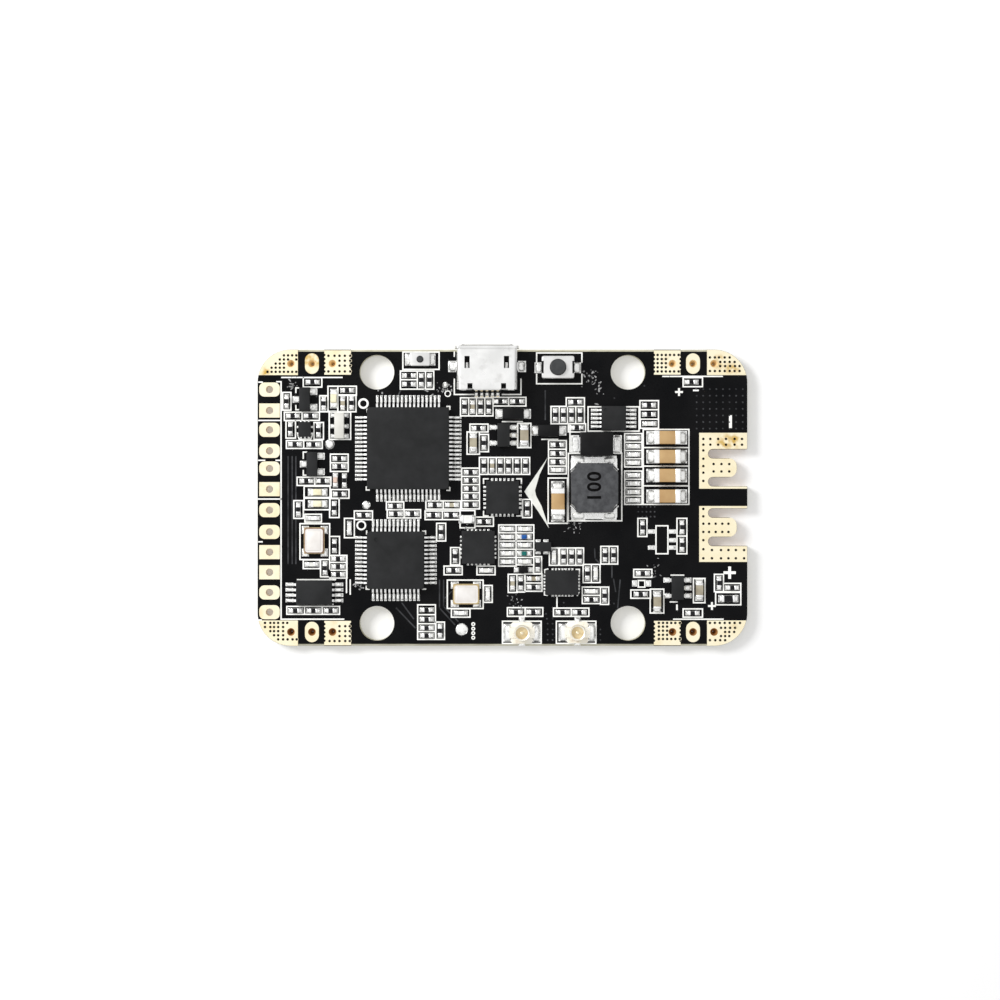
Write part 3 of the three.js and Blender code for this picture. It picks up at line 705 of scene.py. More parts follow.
batteryVias = [
    (7.15, (24.4, 25.25, 26.2, 27.15, 28.2, 29.1)), (6.45, (24.4, 25.25, 26.2, 27.15, 28.2, 29.1)),
    (5.75, (24.4,)), (4.75, (24.4,)), (3.85, (24.4,)), (3.05, (24.4,)), (2.05, (24.4,)),
    (4.1, (25.65, 26.6, 27.55)), (3.2, (25.65, 26.6, 27.55)),
    (-1.35, (24.4,)), (-2.25, (24.4,)), (-3.15, (24.4, 25.1, 25.9, 26.7, 27.45)),
    (-4.15, (24.4, 25.1, 25.9, 26.7, 27.45)), (-5.15, (24.4,)), (-6.25, (24.4,)),
    (-6.35, (25.45, 26.55, 27.45, 28.35, 29.35)), (-7.35, (24.4, 25.45, 26.55, 27.45, 28.35, 29.35)),
]
pads = {
    "cornerInnerX": 24.85,
    "cornerInnerY": 14.9,
    "innerX": (18.4, 21.65),
    "innerY": 14.95,
    "oval": (1.7, 2.5),
    "header": (2.5, 1.72),
    "headerCorner": 0.62,
    "batteryX": 23.9,
    "batteryY": ((1.1, 7.9), (-7.8, -1.0)),
    "scallop": 0.16,
    "barrelWall": 0.03,
    "shadeThroat": 0.04,
    "viaRadius": 0.165,
}


def padPlate(name, x0, y0, x1, y1, corner=0.0):
    plate = block(name, (x0, y0, 0), (x1, y1, board["pad"]))
    if corner:
        roundUprights(plate, corner, 6, lambda a: True)
    return plate


def makePadSet():
    # one set of plates with their undersides at height zero, shared by both faces of the board
    edgePads = []
    for sx in (-1, 1):
        for sy in (-1, 1):
            xs = sorted((sx * pads["cornerInnerX"], sx * edgeX))
            ys = sorted((sy * pads["cornerInnerY"], sy * edgeY))
            edgePads.append(padPlate("cornerPad", xs[0], ys[0], xs[1], ys[1]))
            xs = sorted((sx * pads["innerX"][0], sx * pads["innerX"][1]))
            ys = sorted((sy * pads["innerY"], sy * (edgeY - 0.08)))
            edgePads.append(padPlate("innerPad", xs[0], ys[0], xs[1], ys[1]))
    for low, high in pads["batteryY"]:
        edgePads.append(padPlate("batteryPad", pads["batteryX"], low, edgeX, high))
    whole = joined("goldPads", edgePads)
    outline = boardSlab("outline", -1, 1, 0.02)
    carve(whole, outline, "INTERSECT")
    cutNotches(whole, 0.03)
    notches = [drum("scallop", sx * x, sy * y, pads["scallop"], -1, 1, 12)
               for sx in (-1, 1) for sy in (-1, 1) for x in pads["innerX"]
               for y in (15.35, 15.85, 16.35, 16.85, 17.35)]
    carve(whole, joined("scallops", notches))
    small = []
    for sx in (-1, 1):
        for sy in (-1, 1):
            x, y = sx * board["motorHoleX"][1], sy * board["motorHoleY"]
            w, h = pads["oval"][0] / 2, pads["oval"][1] / 2
            small.append(padPlate("ovalPad", x - w, y - h, x + w, y + h, w * 0.999))
    w, h = pads["header"][0] / 2, pads["header"][1] / 2
    for x, y in headerSpots:
        corner = 0 if y in board["squarePads"] else pads["headerCorner"]
        small.append(padPlate("headerPad", x - w, y - h, x + w, y + h, corner))
    whole = joined("goldPads", [whole, *small])
    return drillHoles(whole, motorSpots + headerSpots, board["solderHole"] - 0.02, 24)


def ringOf(name, x, y, inner, outer, low, high, sides=24):
    ring = drum(name, x, y, outer, low, high, sides)
    return carve(ring, drum("bore", x, y, inner, low - 1, high + 1, sides))


def shadeFunnelHole(outer):
    # a brown funnel in the wire hole, narrowing towards the bottom, is painted shade for the dark inside of
    # the hole
    low, high = board["underCopper"], deck + 0.03
    funnelShade = drum("funnelShade", 0, 0, outer, low, high, 24)
    bpy.ops.object.select_all(action="DESELECT")
    bpy.ops.mesh.primitive_cone_add(vertices=24, radius1=pads["shadeThroat"] * mm,
                                    radius2=(outer - pads["barrelWall"] / 2) * mm,
                                    depth=(high - low + 0.02) * mm, location=(0, 0, (low + high) / 2 * mm))
    carve(funnelShade, placed("funnel"))
    pick(funnelShade)
    bpy.ops.object.shade_smooth_by_angle(angle=math.radians(40))
    return funnelShade


def makePads():
    top = makePadSet()
    under = copyOf(top)
    under.data.transform(Matrix.Diagonal((1, 1, (board["underCopper"]) / board["pad"], 1)))
    top.data.transform(Matrix.Translation((0, 0, deck * mm)))
    whole = joined("goldPads", [top, under])
    soften(whole, 0.012, 1, 50)
    done(whole, paint["gold"], "gold")

    outer = board["solderHole"] / 2
    master = ringOf("barrel", 0, 0, outer - pads["barrelWall"], outer, board["underCopper"], deck + 0.03)
    barrels = [copyOf(master, x, y) for x, y in headerSpots]
    discard(master)
    done(joined("platedHoles", barrels), paint["barrel"], "gold")
    master = shadeFunnelHole(outer)
    upper = [copyOf(master, x, y) for x, y in motorSpots if y > 0]
    lower = [copyOf(master, x, y) for x, y in motorSpots if y < 0]
    discard(master)
    # lighter funnels in the upper holes, darker in the lower ones: painted shade that differs with how the
    # light falls
    done(joined("upperMotorHoleShade", upper), paint["paleHoleShade"], "gold")
    done(joined("lowerMotorHoleShade", lower), paint["deepHoleShade"], "gold")

    # a near-black disc in each via ring is painted shade for the via hole
    well = drum("viaHoleShade", 0, 0, pads["viaRadius"], 0.02, board["pad"] + 0.006, 10)
    lip = ringOf("viaLip", 0, 0, pads["viaRadius"] * 0.98, pads["viaRadius"] * 1.25, 0.02,
                 board["pad"] + 0.012, 10)
    viaShades = []
    lips = []
    for y, row in cornerVias + batteryVias:
        for x in row:
            viaShades.append(copyOf(well, x, y, deck))
            lips.append(copyOf(lip, x, y, deck))
    discard(well, lip)
    done(joined("viaHoleShades", viaShades), paint["viaHoleShade"], "board")
    done(joined("viaLips", lips), paint["gold"], "gold")


makePads()
print("pads ready")


# ---------- printed marks and covered tracks
ink = {"width": 0.16, "height": 0.014, "step": 0.0009}
inkBoxes = [  # left, right, bottom, top
    (-24.2, -21.95, 13.45, 14.6), (-21.2, -20.0, 10.5, 13.55), (-20.0, -17.75, 12.45, 13.55),
    (-20.0, -18.8, 10.45, 12.5), (-18.8, -17.8, 10.45, 12.5), (-26.7, -25.7, 10.65, 12.8),
    (-22.2, -21.2, 10.45, 12.4), (-26.5, -24.35, 9.4, 10.4), (-24.35, -22.25, 9.4, 10.4),
    (-26.3, -25.15, 7.25, 9.35), (-22.9, -21.75, 7.1, 9.15), (-26.25, -24.15, 6.0, 6.95),
    (-24.15, -21.9, 6.0, 6.95), (-24.95, -22.8, 1.5, 2.5), (-22.8, -20.85, 1.5, 2.5),
    (-20.9, -18.75, 4.25, 5.3), (-20.9, -18.75, 3.2, 4.25), (-20.8, -18.65, -0.05, 1.0),
    (-25.35, -24.2, -2.5, -0.35), (-21.0, -19.85, -2.4, -0.1), (-24.0, -22.0, -2.95, -2.0),
    (-19.2, -18.0, -4.85, -2.5), (-18.0, -15.8, -2.65, -1.6), (-21.0, -19.8, -7.0, -4.7),
    (-24.2, -22.15, -8.6, -7.55), (-22.1, -21.0, -9.6, -7.5), (-21.0, -18.9, -7.85, -7.0),
    (-21.0, -18.9, -8.8, -7.85), (-21.0, -18.9, -9.75, -8.8), (-26.2, -24.05, -14.15, -13.2),
    (-24.05, -21.9, -14.15, -13.2), (-21.9, -19.8, -14.15, -13.2), (-12.4, -10.35, 14.35, 15.4),
    (-12.4, -10.35, 13.2, 14.35), (-10.35, -9.35, 13.2, 15.4), (-9.35, -8.35, 13.2, 15.4),
    (-5.1, -4.1, 9.95, 12.15), (-4.1, -3.15, 9.95, 12.15), (-3.15, -2.15, 9.95, 12.15),
    (-2.15, -1.15, 9.95, 12.15), (-1.15, 0.75, 11.15, 12.2), (0.75, 2.85, 11.15, 12.2),
    (-3.95, -1.75, 8.0, 8.95), (-4.3, -2.8, 5.3, 8.0), (-2.8, -1.7, 5.6, 7.7),
    (-2.8, -1.75, 2.85, 4.9), (-1.75, -0.75, 2.85, 4.9), (-0.75, 0.25, 2.85, 4.9),
    (0.25, 1.25, 2.85, 4.9), (1.25, 2.3, 2.85, 4.9), (2.3, 3.3, 2.85, 4.9),
    (-4.95, -2.8, 2.6, 3.6), (-4.95, -2.8, 1.6, 2.6), (-4.95, -2.8, 0.62, 1.6),
    (-4.95, -2.8, -0.35, 0.62), (-4.95, -2.8, -1.35, -0.35), (-9.3, -7.2, -1.38, -0.38),
    (-7.2, -5.1, -1.38, -0.38), (-9.4, -7.3, -2.65, -1.6), (-7.3, -5.15, -2.65, -1.6),
    (-14.1, -12.0, -1.45, -0.5), (-14.0, -11.95, -2.45, -1.45), (-11.95, -9.95, -2.45, -1.45),
    (-3.3, -1.1, -3.45, -2.35), (-8.0, -6.9, -5.25, -3.1), (-5.15, -3.35, -3.65, -1.55),
    (-6.3, -5.2, -8.15, -6.05), (-7.1, -4.9, -9.35, -8.3), (-3.1, -0.9, -9.35, -8.3),
    (-2.3, -1.25, -12.7, -10.65), (-6.2, -3.95, -14.5, -13.5), (-10.3, -8.15, -14.2, -13.0),
    (-10.3, -8.15, -15.3, -14.2), (-10.3, -8.15, -16.25, -15.3), (-10.3, -8.15, -17.2, -16.25),
    (-8.1, -7.05, -17.2, -15.1), (7.75, 9.95, 11.1, 12.15), (5.9, 6.9, 9.0, 11.1),
    (6.9, 7.9, 9.0, 11.1), (7.9, 8.9, 9.0, 11.1), (8.9, 9.95, 9.0, 11.1), (8.0, 10.1, 8.0, 9.0),
    (5.6, 7.75, 5.9, 6.95), (5.6, 7.75, 4.85, 5.9), (5.6, 7.75, 3.85, 4.85), (5.6, 7.75, 2.9, 3.85),
    (1.85, 3.45, 6.1, 9.05), (2.45, 3.55, -2.4, -0.2), (5.55, 7.9, -3.1, 2.4),
    (14.85, 16.95, 6.75, 7.8), (14.85, 16.95, 5.75, 6.75), (14.85, 16.95, 4.75, 5.75),
    (14.85, 16.95, 3.75, 4.75), (14.85, 16.95, 2.25, 3.25), (14.85, 16.95, 1.2, 2.25),
    (14.85, 16.95, 0.2, 1.2), (14.85, 16.95, -0.8, 0.2), (16.7, 18.95, 10.7, 11.8),
    (16.7, 18.95, 9.55, 10.7), (16.75, 18.95, 8.45, 9.55), (21.95, 24.3, 13.5, 14.6),
    (17.1, 22.65, 6.1, 8.3), (17.1, 22.65, 3.85, 6.1), (17.1, 22.65, 1.45, 3.85),
    (17.1, 22.65, -0.8, 1.45), (-0.45, 1.65, -4.25, -3.3), (-0.45, 1.65, -5.25, -4.25),
    (-0.45, 1.65, -6.25, -5.25), (-0.45, 1.65, -7.25, -6.25), (-0.45, 1.65, -8.3, -7.25),
    (1.65, 3.8, -4.25, -3.3), (1.65, 3.8, -5.25, -4.25), (1.65, 3.8, -6.25, -5.25),
    (1.65, 3.8, -7.25, -6.25), (1.65, 3.8, -8.15, -7.25), (3.8, 4.75, -9.2, -7.15),
    (2.75, 4.8, -10.35, -9.25), (2.75, 4.8, -11.35, -10.35), (0.7, 1.75, -11.5, -9.3),
    (1.75, 2.7, -11.45, -9.3), (5.7, 6.8, -8.2, -6.1), (6.95, 7.9, -8.2, -6.1),
    (7.9, 8.9, -8.2, -6.1), (8.9, 9.85, -8.2, -6.1), (9.8, 10.8, -10.3, -8.1),
    (10.8, 11.85, -10.3, -8.1), (11.95, 12.95, -8.05, -5.9), (12.95, 14.0, -8.05, -5.9),
    (9.7, 11.9, -11.85, -10.85), (9.7, 11.9, -12.85, -11.85), (11.9, 12.9, -12.95, -10.85),
    (0.6, 2.75, -14.4, -13.35), (2.75, 4.9, -14.4, -13.35), (6.2, 8.35, -14.4, -13.4),
    (8.35, 10.5, -14.4, -13.4), (16.45, 17.55, -4.7, -2.5), (21.2, 22.4, -4.65, -2.5),
    (21.2, 22.4, -6.8, -4.65), (18.65, 20.1, -6.8, -3.4), (15.95, 18.15, -9.65, -8.7),
    (15.6, 18.0, -12.2, -11.2), (16.5, 17.3, -10.85, -10.05), (25.75, 26.85, -11.4, -9.3),
    (26.85, 28.95, -11.4, -10.4), (25.9, 28.95, -13.0, -11.5), (21.95, 24.3, -14.5, -13.5),
    (17.95, 19.6, -14.0, -11.1), (23.2, 24.6, -12.75, -9.8), (-24.1, -20.95, 0.05, 1.4),
    (-24.1, -20.95, -1.45, -0.05), (-24.6, -21.0, -7.5, -3.15), (-6.7, -2.35, -13.45, -10.0),
    (-21.05, -18.45, 7.1, 10.4), (8.0, 14.5, -2.8, 5.4), (10.4, 16.6, 8.1, 11.05),
    (-12.1, -7.7, 15.6, 17.7), (6.55, 11.35, -17.7, -15.0), (0.0, 4.7, -17.7, -15.0),
]
inkLines = [  # from x, y to x, y
    (-26.9, 14.1, -26.9, -14.7), (-26.9, -14.75, -19.3, -14.75), (-26.8, 14.62, -26.2, 14.62),
    (-26.05, 14.62, -25.7, 14.62), (-25.5, 14.62, -25.1, 14.62), (-24.9, 14.62, -19.5, 14.62),
    (-29.6, 14.05, -29.2, 14.05), (-27.4, 14.1, -26.9, 14.1), (-29.6, 9.4, -26.9, 9.4),
    (-29.6, 4.55, -28.9, 4.55), (-27.5, 4.55, -26.9, 4.55), (-29.65, -0.15, -26.9, -0.15),
    (-29.6, -5.35, -29.2, -5.35), (-29.6, -14.85, -29.3, -14.85), (-25.1, 13.35, -25.1, 12.8),
    (-25.1, 13.35, -24.75, 13.35), (-25.1, 11.2, -25.1, 10.7), (-25.1, 10.7, -24.75, 10.7),
    (-24.2, 5.55, -24.2, 4.8), (-24.2, 5.55, -23.8, 5.55), (-24.2, 3.3, -24.2, 2.75),
    (-24.2, 2.75, -23.8, 2.75), (-24.85, 7.6, -24.7, 7.1), (-24.7, 7.1, -23.3, 7.1),
    (-23.3, 7.1, -23.1, 7.6), (-20.3, -9.95, -24.9, -9.95), (-24.9, -12.95, -20.6, -12.95),
    (-18.95, -7.0, -18.95, -11.5), (-18.5, -10.0, -18.5, -11.7),
    (4.15, 13.85, 9.65, 13.85), (4.15, 17.6, 9.65, 17.6), (4.15, 13.85, 4.15, 15.0),
    (4.15, 16.5, 4.15, 17.6), (9.65, 13.85, 9.65, 15.0), (9.65, 16.5, 9.65, 17.6),
    (-5.85, 12.55, -3.5, 12.55), (0.0, 12.55, 2.2, 12.55), (-5.85, 12.55, -5.85, 14.4),
    (2.25, 12.55, 2.25, 14.4), (-5.85, 17.2, -5.85, 17.7), (0.0, 9.25, 2.4, 9.25),
    (4.8, 7.1, 6.7, 7.1), (8.2, 5.6, 8.2, 8.9), (-2.3, 2.3, -1.75, 2.3), (-2.3, 2.3, -2.3, 1.75),
    (2.3, 2.3, 1.75, 2.3), (2.3, 2.3, 2.3, 1.75), (-2.3, -2.2, -1.75, -2.2), (-2.3, -2.2, -2.3, -1.65),
    (2.3, -2.2, 1.75, -2.2), (2.3, -2.2, 2.3, -1.65), (5.15, -9.1, 5.15, -8.85), (5.15, -8.75, 5.5, -8.65),
    (9.35, -8.7, 8.95, -8.7), (9.35, -8.7, 9.35, -9.2), (5.1, -11.4, 5.1, -11.75),
    (5.1, -11.8, 5.45, -11.85),
    (9.3, -11.5, 9.1, -11.85), (-16.45, 10.75, -16.2, 10.75), (-16.45, 10.75, -16.45, 10.45),
    (-6.4, 11.1, -6.4, 10.75), (-6.4, 11.1, -6.75, 11.1), (-16.55, 0.95, -16.55, 1.3),
    (-16.55, 0.95, -16.2, 0.95), (-6.4, 0.9, -6.4, 1.25), (-6.4, 0.9, -6.75, 0.9),
    (-16.5, -4.05, -16.5, -4.4), (-9.35, -4.05, -9.35, -4.4), (-9.35, -4.05, -9.7, -4.05),
    (-16.55, -11.1, -16.55, -10.75), (-16.55, -11.1, -16.2, -11.1), (-9.35, -11.1, -9.7, -11.1),
    (20.5, -9.4, 22.0, -9.4), (20.4, -12.65, 21.2, -12.65), (19.5, 14.75, 20.2, 14.75),
    (20.4, 14.75, 26.7, 14.75), (20.8, -14.75, 26.8, -14.75), (6.62, -12.1, 6.62, -13.3),
    (4.0, -6.35, 4.3, -6.35), (5.6, -6.35, 5.85, -6.35),
]
inkSigns = [  # x, y, length, width, turn
    (27.7, 9.25, 1.55, 0.35, quarter), (27.6, -9.1, 1.5, 0.34, 0), (27.6, -9.1, 1.5, 0.34, quarter),
    (21.45, 12.85, 0.95, 0.24, 0), (21.45, 12.85, 0.95, 0.24, quarter),
    (25.45, -13.15, 0.95, 0.24, 0), (25.45, -13.15, 0.95, 0.24, quarter),
    (23.5, 13.05, 0.7, 0.2, 0), (21.2, -13.3, 0.7, 0.2, quarter),
]
inkRings = [  # x, y, inner radius, outer radius
    (-16.9, 11.45, 0.4, 0.65), (-17.15, -3.35, 0.4, 0.6), (-6.65, 12.65, 0.27, 0.4),
    (-3.55, -15.35, 0.1, 0.24), (-3.55, -15.9, 0.1, 0.24), (-3.55, -16.45, 0.1, 0.24),
    (-3.55, -17.0, 0.1, 0.24),
]
chevron = [(5.5, 4.9), (4.5, 2.8), (3.95, 0.9), (4.1, 0.2), (4.75, -1.0), (5.65, -3.7), (4.3, -1.6),
           (3.3, -0.2), (2.65, 0.75)]
tracks = [  # covered copper under the black mask: from x, y to x, y
    (-7.65, -10.0, -7.65, -13.4), (-7.15, -10.0, -7.15, -13.2), (-7.65, -13.4, -5.8, -15.4),
    (-7.15, -13.2, -5.4, -15.0), (-12.2, -12.8, -10.8, -14.7), (-12.9, -13.4, -10.6, -15.8),
    (-25.1, 5.0, -25.1, -8.0), (-25.55, 5.0, -25.55, -8.0), (-26.05, 5.0, -26.05, -8.0),
    (5.2, 13.0, 5.2, 9.5), (13.5, -9.9, 13.75, -11.4), (13.3, -8.3, 13.3, -9.7),
    (11.2, -6.2, 11.25, -7.4), (11.25, -7.4, 11.7, -7.85), (-12.3, 13.2, -12.8, 12.2),
    (-6.2, -11.4, -7.0, -12.2), (14.3, -10.0, 14.0, -13.4),
]
tentedVias = [(23.6 + 0.8 * i, 8.4 + 0.8 * j) for i in range(8) for j in range(7)]
tentedVias += [(x, y) for x in (5.5, 6.1) for y in (-15.3, -16.0, -16.6, -17.3)]
tentedVias += [(11.9, -16.0), (11.9, -16.6), (11.9, -17.3), (17.25, 13.6), (13.6, 12.1)]
tentedVias += [(16.5 + 0.5 * i, y) for i in range(5) for y in (-1.1, -1.7, -2.3)]
tentedVias += [(-24.0, 12.9), (-22.6, 12.3), (10.8, -10.7), (5.4, -14.7), (6.1, -14.7), (5.3, -14.1)]
tentedVias += [(7.45, -12.75), (13.55, -12.85), (1.6, -12.9), (0.9, -12.9), (-1.4, -4.0), (-12.0, 12.3)]


def strokeBetween(master, x0, y0, x1, y1, width, height, overlap=0.0):
    length = math.hypot(x1 - x0, y1 - y0) + overlap
    turn = math.atan2(y1 - y0, x1 - x0)
    return copyOf(master, (x0 + x1) / 2, (y0 + y1) / 2, deck, turn, (length, width, height))


def makeInk():
    unit = block("inkStroke", (-0.5, -0.5, 0), (0.5, 0.5, 1))
    lines = list(inkLines)
    for left, right, bottom, top in inkBoxes:
        lines += [(left, bottom, right, bottom), (left, top, right, top)]
        lines += [(left, bottom, left, top), (right, bottom, right, top)]
    strokes = []
    for count, line in enumerate(lines):  # heights differ a little, so crossing strokes never share a face
        height = ink["height"] + ink["step"] * (count % 11)
        strokes.append(strokeBetween(unit, *line, ink["width"], height, ink["width"]))
    for count, (x, y, length, width, turn) in enumerate(inkSigns):
        height = ink["height"] + ink["step"] * (count % 3)
        strokes.append(copyOf(unit, x, y, deck, turn, (length, width, height)))
    discard(unit)
    for x, y, inner, outer in inkRings:
        strokes.append(ringOf("inkRing", x, y, inner, outer, deck, deck + ink["height"], 24))
    bpy.ops.object.select_all(action="DESELECT")
    bpy.ops.mesh.primitive_circle_add(vertices=len(chevron), radius=mm, fill_type="NGON")
    mark = placed("chevron")
    for point, (x, y) in zip(mark.data.vertices, chevron):
        point.co = (x * mm, y * mm, deck * mm)
    mark = useModifier(mark, "SOLIDIFY", thickness=ink["height"] * mm, offset=0)
    editFaces(mark, lambda centre, normal: True)
    bpy.ops.mesh.select_all(action="SELECT")
    bpy.ops.mesh.normals_make_consistent(inside=False)
    endEdit()
    done(mark, paint["inkFill"], "board")
    done(joined("printedMarks", strokes), paint["ink"], "board")


def makeTracks():
    unit = block("track", (-0.5, -0.5, 0), (0.5, 0.5, 1))
    ridges = [strokeBetween(unit, *line, 0.16, 0.014, 0.12) for line in tracks]
    discard(unit)
    bump = drum("coveredVia", 0, 0, 0.11, 0, 0.02, 10)
    editFaces(bump, lambda centre, normal: normal.z > 0.9)
    stretchPicked((0.7, 0.7, 1), (0, 0, 0))
    endEdit()
    ridges += [copyOf(bump, x, y, deck) for x, y in tentedVias]
    discard(bump)
    done(joined("coveredTracks", ridges), paint["traceMask"], "board")


makeInk()
makeTracks()
print("printed marks ready")


# ---------- solder, shared by everything below
def makeSolderMaster():
    # low cushion one unit wide, highest at its left end, where the part stands
    master = block("solderMaster", (-0.5, -0.5, 0), (0.5, 0.5, 1))
    roundUprights(master, 0.22, 2, lambda a: True)
    editFaces(master, lambda centre, normal: normal.z > 0.9)
    stretchPicked((0.62, 0.66, 1), (-0.42, 0, 1))
    endEdit()
    useModifier(master, "BEVEL", width=0.16 * mm, segments=2, limit_method="ANGLE",
                angle_limit=math.radians(25))
    bpy.ops.object.shade_smooth()
    return master


solderSpots = []  # x, y, length, width, height, turn; the joints are made once every part is placed


def addSolder(x, y, length, width, height, turn=0.0):
    solderSpots.append((x, y, length, width, height, turn))


def outward(x, y, turn, distance):
    return x + distance * math.cos(turn), y + distance * math.sin(turn)


# ---------- small chips
chip = {
    "length": 1.0,
    "width": 0.5,
    "height": 0.35,
    "end": 0.25,
    "solderReach": 0.86,
}
resistorsAcross = [
    (-23.05, 14.05), (-18.85, 13.05), (-25.45, 9.95), (-23.3, 9.95), (-25.2, 6.5), (-22.95, 6.45),
    (-23.8, 2.05), (-21.8, 2.05), (-19.8, 4.75), (-19.8, 3.8), (-19.75, 0.45), (-16.85, -2.1),
    (-19.95, -7.4), (-19.95, -8.35), (-19.95, -9.3), (-25.15, -13.7), (-22.95, -13.7), (-20.85, -13.7),
    (-11.35, 14.85), (-11.35, 13.8), (-0.25, 11.7), (1.8, 11.7), (-2.9, 8.45), (-3.85, 3.1),
    (-3.85, 2.1), (-3.85, 1.1), (-3.85, 0.15), (-3.85, -0.85), (-8.2, -0.87), (-13.05, -1.0),
    (-12.95, -1.95), (-10.95, -1.95), (-8.4, -2.1), (-6.25, -2.1), (-2.25, -2.9), (-5.95, -8.8),
    (-9.2, -13.6), (-9.2, -14.75), (-9.2, -15.8), (-9.2, -16.72), (8.85, 11.62), (9.05, 8.5),
    (6.7, 6.43), (6.7, 5.37), (6.7, 4.35), (17.8, 11.25), (17.8, 10.13), (22.95, 14.05),
    (3.8, -10.85), (10.8, -12.35), (1.65, -13.87), (3.75, -13.87), (7.3, -13.9), (9.35, -13.9),
    (17.05, -9.17), (16.8, -11.7), (27.9, -10.92), (23.1, -14.0),
]
resistorsUpright = [
    (-26.2, 11.7), (-21.7, 11.45), (-18.3, 11.5), (-25.75, 8.35), (-22.35, 8.2), (-19.2, 2.1),
    (-24.78, -1.42), (-20.43, -1.25), (-20.4, -5.85), (-21.55, -8.55), (-9.85, 14.3), (-8.85, 14.3),
    (-4.6, 11.05), (-2.65, 11.05), (-1.65, 11.05), (-2.25, 6.65), (-2.25, 3.88), (-0.25, 3.88),
    (0.75, 3.88), (1.77, 3.88), (2.8, 3.88), (-7.45, -4.17), (-5.75, -7.1), (-7.58, -16.15),
    (6.4, 10.05), (7.4, 10.05), (8.4, 10.05), (9.42, 10.05), (3.0, -1.3), (4.3, -8.15),
    (2.22, -10.4), (7.42, -7.15), (8.4, -7.15), (9.38, -7.15), (10.3, -9.2), (12.45, -6.97),
    (13.48, -6.97), (12.4, -11.9), (17.0, -3.6), (21.8, -3.57), (21.8, -5.72), (26.3, -10.35),
]
whitesAcross = [
    (-23.0, -2.47), (-23.18, -8.08), (-2.0, -8.82), (-5.07, -14.0), (6.7, 3.38), (15.9, 7.27),
    (15.9, 6.25), (15.9, 5.25), (15.9, 4.25), (15.9, 2.75), (15.9, 1.72), (15.9, 0.7), (15.9, -0.3),
    (17.85, 9.0), (0.6, -3.78), (0.6, -4.75), (0.6, -5.75), (0.6, -6.75), (0.6, -7.78), (2.7, -3.78),
    (2.7, -5.75), (2.7, -7.75), (10.8, -11.35),
]
whitesUpright = [(-18.6, -3.67), (-1.78, -11.67), (6.25, -7.15), (11.32, -9.2)]
capsAcross = [(3.8, -9.82), (-6.15, -0.87)]
capsUpright = [(-19.4, 11.47), (-3.62, 11.05), (-1.25, 3.88), (1.22, -10.4)]
biggerChips = [  # x, y, length, width, height, turn, body material
    (-3.55, 6.7, 1.6, 0.85, 0.8, quarter, "capGrey"), (2.65, 7.57, 1.9, 1.0, 0.85, quarter, "capGrey"),
    (23.9, -11.2, 1.75, 0.85, 0.8, quarter, "capGrey"), (18.78, -12.6, 1.75, 0.9, 0.8, quarter, "capGrey"),
    (27.43, -12.25, 1.6, 0.8, 0.5, 0, "chipBlack"), (-4.28, -2.6, 1.3, 0.95, 0.7, 0, "capWhite"),
]


def chipEnds(master, x, y, turn, length, width, height, cap):
    pieces = []
    for side in (0, math.pi):
        ex, ey = outward(x, y, turn + side, length / 2 - cap / 2)
        pieces.append(copyOf(master, ex, ey, deck, turn + side, (cap, width + 0.03, height + 0.03)))
        reach = chip["solderReach"] - chip["length"] / 2 + 0.1 * (length - chip["length"])
        sx, sy = outward(x, y, turn + side, length / 2 + reach / 2 - 0.03)
        addSolder(sx, sy, reach + 0.06, width + 0.08, min(height * 0.85, 0.55), turn + side)
    return pieces


def makeChips():
    body = block("chipBody", (-0.5, -0.5, 0), (0.5, 0.5, 1))
    end = block("chipEnd", (-0.5, -0.5, 0.02), (0.5, 0.5, 1))
    useModifier(end, "BEVEL", width=0.1 * mm, segments=1, limit_method="ANGLE")
    bpy.ops.object.shade_smooth_by_angle(angle=math.radians(50))
    tops = []
    groups = {"capGrey": [], "capWhite": []}
    ends = []

    def place(x, y, turn, material, length=chip["length"], width=chip["width"], height=chip["height"]):
        cap = chip["end"] * max(1.0, length / 1.4)
        span = length - 2 * cap + 0.04
        if material == "chipBlack":  # a white ceramic chip under a dark glass top
            groups["capWhite"].append(copyOf(body, x, y, deck, turn, (span, width, height - 0.04)))
            tops.append(copyOf(body, x, y, deck + height - 0.04, turn, (span - 0.03, width - 0.02, 0.055)))
        else:
            groups[material].append(copyOf(body, x, y, deck + 0.02, turn, (span, width, height - 0.02)))
        ends.extend(chipEnds(end, x, y, turn, length, width, height, cap))

    rows = ((resistorsAcross, 0, "chipBlack"), (resistorsUpright, quarter, "chipBlack"),
            (whitesAcross, 0, "capWhite"), (whitesUpright, quarter, "capWhite"),
            (capsAcross, 0, "capGrey"), (capsUpright, quarter, "capGrey"))
    for spots, turn, material in rows:
        for x, y in spots:
            place(x, y, turn, material)
    for x, y, length, width, height, turn, material in biggerChips:
        place(x, y, turn, material, length, width, height)
    discard(body, end)
    done(joined("resistorTops", tops), paint["chipBlack"], "chip_epoxy")
    done(joined("chipWhiteBodies", groups["capWhite"]), paint["capWhite"], "ceramic")
    done(joined("chipGreyBodies", groups["capGrey"]), paint["capGrey"], "ceramic")
    done(joined("chipEnds", ends), paint["tin"], "tin")


makeChips()
print("small chips ready")


